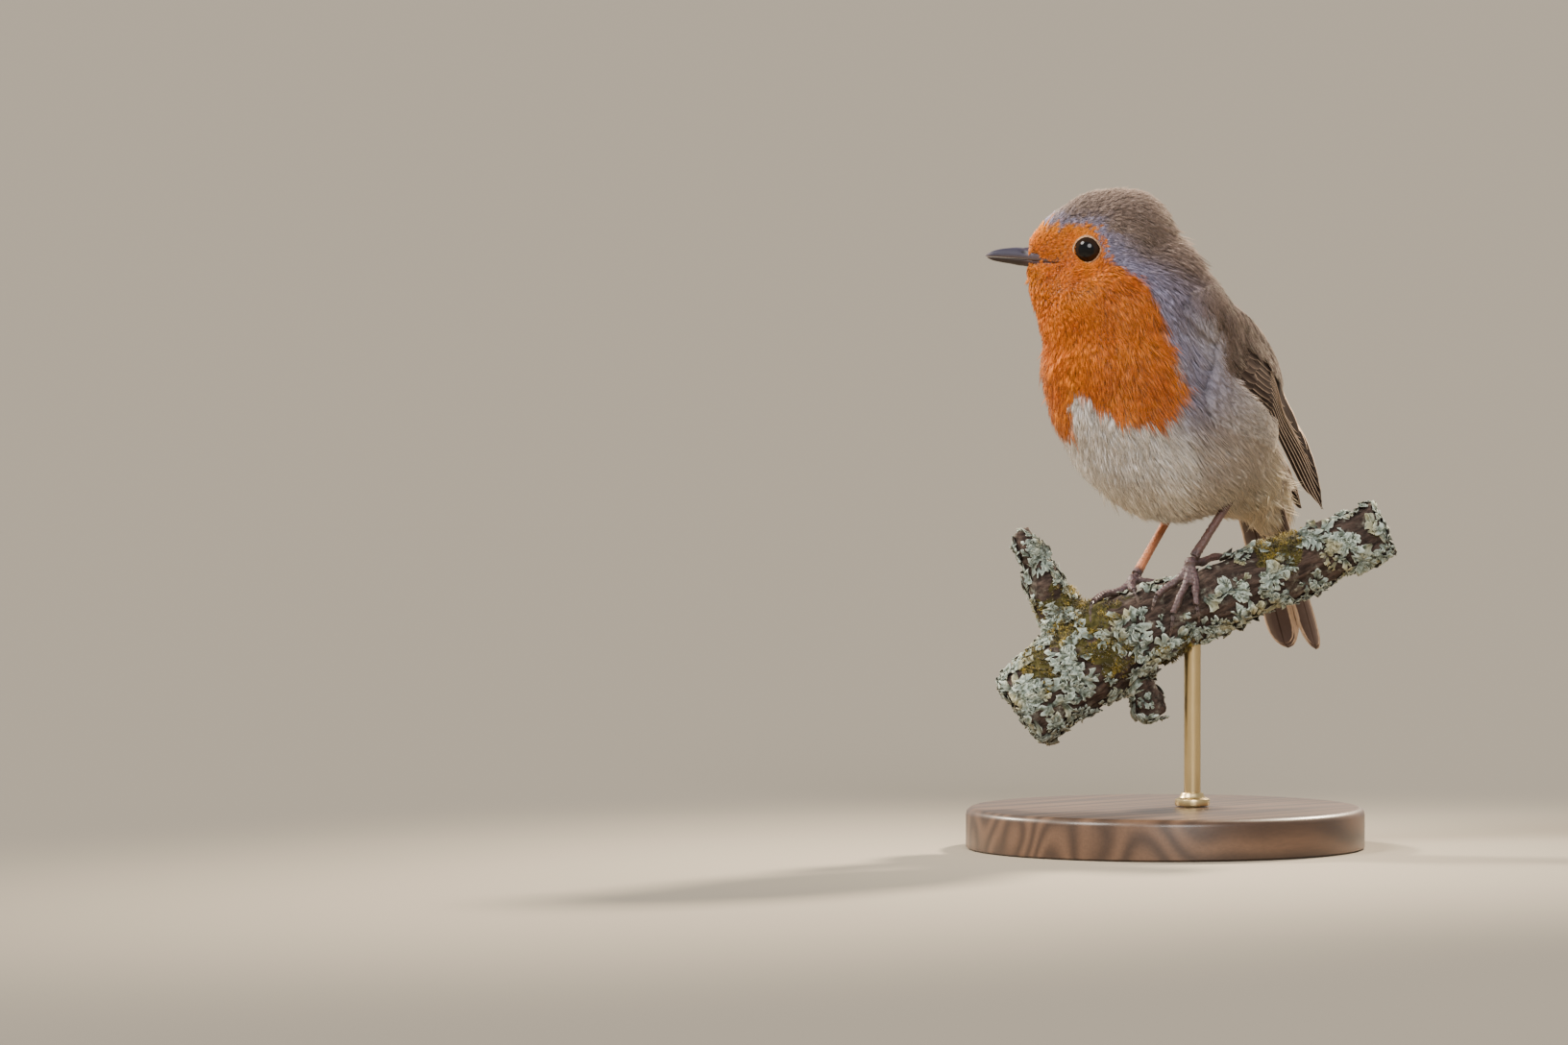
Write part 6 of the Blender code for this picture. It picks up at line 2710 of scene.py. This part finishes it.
@dataclass(frozen=True)
class WoodFinish(Finish):
    """Dark stained wood with a satin finish."""

    name: str = "stained_wood"
    stain: tuple[Colour, Colour] = ((0.052, 0.026, 0.014), (0.125, 0.066, 0.036))

    def sockets(self, graph: Graph) -> dict:
        """Gives the surface's sockets.

        Args:
            graph: The material's graph.

        Returns:
            Values or wires by socket name.
        """
        bent = graph.noise(26.0, 3.0, graph.place((0.25, 1.0, 1.0)))
        rings = graph.math("SINE", graph.noise(22.0, 1.0, graph.place((0.03, 1.0, 0.5))) * 70.0 + bent * 4.0)
        pores = graph.noise(0.6, 3.0, graph.place((0.05, 1.0, 1.0)), 0.6)
        return {
            "Base Color": graph.tint(graph.mix(*self.stain, rings * 0.5 + 0.5), 0.72 + 0.55 * pores),
            "Roughness": 0.34 + 0.14 * pores,
            "Coat Weight": 0.25,
            "Coat Roughness": 0.22,
            "Normal": graph.bump(pores, 0.05, 0.4),
        }


@dataclass(frozen=True)
class BrassFinish(Finish):
    """Satin brass with a fine grain."""

    name: str = "satin_brass"
    metal: tuple[Colour, Colour] = ((0.56, 0.42, 0.20), (0.66, 0.50, 0.26))

    def sockets(self, graph: Graph) -> dict:
        """Gives the surface's sockets.

        Args:
            graph: The material's graph.

        Returns:
            Values or wires by socket name.
        """
        grain = graph.noise(0.5, 3.0, graph.place((1.0, 1.0, 0.08)))
        return {
            "Base Color": graph.mix(*self.metal, graph.noise(6.0, 3.0)),
            "Metallic": 1.0,
            "Roughness": 0.26 + 0.16 * grain,
            "Normal": graph.bump(grain, 0.01, 0.3),
        }


@dataclass
class Stand:
    """The display stand: a stained wooden base, a brass rod and its collar."""

    steps: int = 128
    sharp: float = 32.0  # the least angle between faces that shows as an edge
    base: Curve = (
        (0.0, 0.0), (47.2, 0.0), (48.0, 0.5), (48.0, 8.3), (47.85, 8.95), (47.4, 9.5), (46.8, 9.86),
        (46.2, 10.0), (7.0, 10.0), (0.0, 10.0),
    )
    rod: Curve = ((0.0, 4.2), (2.0, 4.2), (2.0, 55.0), (0.0, 55.0))
    collar: Curve = (
        (2.05, 10.3), (3.9, 10.3), (4.15, 10.45), (4.2, 10.7), (4.2, 11.6), (4.1, 11.9), (3.75, 12.1),
        (3.2, 12.3), (2.9, 12.7), (2.8, 13.1), (2.6, 13.4), (2.05, 13.5),
    )

    def build(self) -> None:
        """Makes the base, the rod and the collar."""
        middle = node_centre("stand_rod") * (1.0, 1.0, 0.0)
        brass, wood = BrassFinish().material(), WoodFinish().material()
        self._turned("stand_base_wood", self.base, np.zeros(3), wood, "stand_base")
        self._turned("stand_rod_brass", self.rod, middle, brass, "stand_rod")
        self._turned("stand_collar_brass", self.collar, middle, brass, "stand_ferrule")

    def _turned(
        self, name: str, profile: Curve, middle: Array, finish: Material, node: str
    ) -> None:
        """Turns a profile of radius and height about an upright axis.

        Args:
            name: The piece's name.
            profile: Radius and height pairs, from the bottom up the outside.
            middle: Where the axis stands.
            finish: The material.
            node: The solid that it replaces.
        """
        turn = np.linspace(0.0, TURN, self.steps, endpoint=False)
        circle = np.stack([np.cos(turn), np.sin(turn), 0.0 * turn], -1)
        hollow = profile[0][0] > 0.0
        rows = profile if hollow else profile[1:-1]
        rings = np.stack([middle + radius * circle + height * UP for radius, height in rows])
        mesh = new_mesh(name, *loft(rings.transpose(1, 0, 2) if hollow else rings, wrapped=hollow))
        mesh.set_sharp_from_angle(angle=math.radians(self.sharp))
        place_piece(name, mesh, finish, (node,))


# ---------------------------------------------------------------- studio


@dataclass(frozen=True)
class Lamp:
    """One lamp: a far sun over everything, or a narrow spot from behind that makes the outline glow."""

    name: str
    sun: bool
    azimuth: float
    elevation: float
    spread: float  # how wide a sun looks, which softens its shadows, or how wide a spot's cone is
    strength: float
    colour: Colour


@dataclass(frozen=True)
class FloorFinish(Finish):
    """A plain pale floor."""

    name: str = "pale_floor"
    pale: Colour = (0.36, 0.31, 0.24)
    roughness: float = 0.9

    def sockets(self, graph: Graph) -> dict:
        """Gives the surface's sockets."""
        return {"Base Color": (*self.pale, 1.0), "Roughness": self.roughness}


@dataclass
class Studio:
    """A wide pale floor, soft lights and the camera."""

    azimuth: float = -45.0
    elevation: float = 2.6
    lens: float = 300.0
    field_width: float = 377.0  # what the frame spans at the bird
    aim_left: float = 91.75  # how far the aim lies to the left of the stand's middle
    aim_height: float = 78.5
    sensor: float = 36.0
    floor_size: float = 240.0
    clip_end: float = 500.0
    sky: Colour = (0.86, 0.84, 0.80)
    sky_strength: float = 0.66
    spot_radius: float = 0.09
    spot_blend: float = 0.8
    spot_aim: float = 0.11  # height of the point that the lamps are turned to
    spot_far: float = 1.3
    lamps: tuple[Lamp, ...] = (
        Lamp("key", True, -100.0, 42.0, 20.0, 3.0, (1.0, 0.95, 0.88)),
        Lamp("front", True, -38.0, 26.0, 26.0, 2.1, (1.0, 0.985, 0.96)),
        Lamp("rim_right", False, 100.0, 38.0, 15.0, 250.0, (1.0, 0.84, 0.64)),
        Lamp("rim_left", False, -162.0, 30.0, 15.0, 150.0, (1.0, 0.88, 0.72)),
    )

    def _aim(self) -> Vector:
        """Finds the point that the camera looks at.

        Returns:
            The point, in metres.
        """
        turn = math.radians(self.azimuth)
        right = Vector((math.cos(turn), math.sin(turn), 0.0))
        return (right * -self.aim_left + Vector((0.0, 0.0, self.aim_height))) * MM

    def build(self) -> None:
        """Makes the floor, the lights, the world and the camera."""
        self._floor()
        self._world()
        self._camera()
        for lamp in self.lamps:
            self._light(lamp)

    def _floor(self) -> None:
        """Makes the floor."""
        half = self.floor_size / MM * 0.5
        corners = np.array([(-half, -half, 0), (half, -half, 0), (half, half, 0), (-half, half, 0)], float)
        mesh = new_mesh("floor", corners, np.array([(0, 1, 2, 3)]))
        floor = added("floor", mesh)
        mesh.materials.append(FloorFinish().material())

    def _world(self) -> None:
        """Lights everything a little from all round."""
        world = bpy.data.worlds.new("studio")
        world.use_nodes = True
        glow = world.node_tree.nodes["Background"].inputs
        glow["Color"].default_value = (*self.sky, 1.0)
        glow["Strength"].default_value = self.sky_strength
        bpy.context.scene.world = world

    def _camera(self) -> None:
        """Makes the long-lens camera."""
        data = bpy.data.cameras.new("camera")
        data.lens = self.lens
        data.sensor_width = self.sensor
        data.clip_end = self.clip_end
        far = self.field_width * self.lens / self.sensor * MM
        bpy.context.scene.camera = self._aimed(data, self.azimuth, self.elevation, self._aim(), far)

    @staticmethod
    def _aimed(
        data: bpy.types.ID, azimuth: float, elevation: float, aim: Vector, far: float
    ) -> Thing:
        """Puts a camera or a lamp in the scene, turned towards a point.

        Args:
            data: The camera or lamp.
            azimuth: The bearing from which it looks, in degrees: 0 looks along +Y.
            elevation: Its height over the horizon, in degrees.
            aim: The point.
            far: How far from the point it stands, in metres.

        Returns:
            The new object.
        """
        turn, rise = math.radians(azimuth), math.radians(elevation)
        back = Vector((math.sin(turn) * math.cos(rise), -math.cos(turn) * math.cos(rise), math.sin(rise)))
        made = added(data.name, data)
        made.location = aim + back * far
        made.rotation_euler = (-back).to_track_quat("-Z", "Y").to_euler()
        return made

    def _light(self, lamp: Lamp) -> None:
        """Makes one lamp: a sun, or a spot aimed at the model.

        Args:
            lamp: The lamp's kind, place and strength.
        """
        data = bpy.data.lights.new(lamp.name, "SUN" if lamp.sun else "SPOT")
        data.energy = lamp.strength
        data.color = lamp.colour
        if lamp.sun:
            data.angle = math.radians(lamp.spread)
        else:
            data.shadow_soft_size = self.spot_radius
            data.spot_size = math.radians(lamp.spread)
            data.spot_blend = self.spot_blend
        self._aimed(data, lamp.azimuth, lamp.elevation, Vector((0.0, 0.0, self.spot_aim)), self.spot_far)


def main() -> None:
    """Builds the studio and the model, piece by piece."""
    logging.basicConfig(level=logging.INFO, format="%(message)s")
    Studio().build()
    skin = Skin().build()
    skin.dress()
    coat = Coat(skin)
    coat.build()
    sheet = WingSheet()
    coat.overlap(sheet)
    coat.wisps()
    log.info("the whole coat: %d faces", coat.total)
    Bill(skin).build()
    Wings(sheet).build()
    Tail().build()
    for side in Side:
        Eye(side).build()
        Leg(side).build()
    Perch().build()
    Stand().build()


if __name__ == "__main__":
    main()
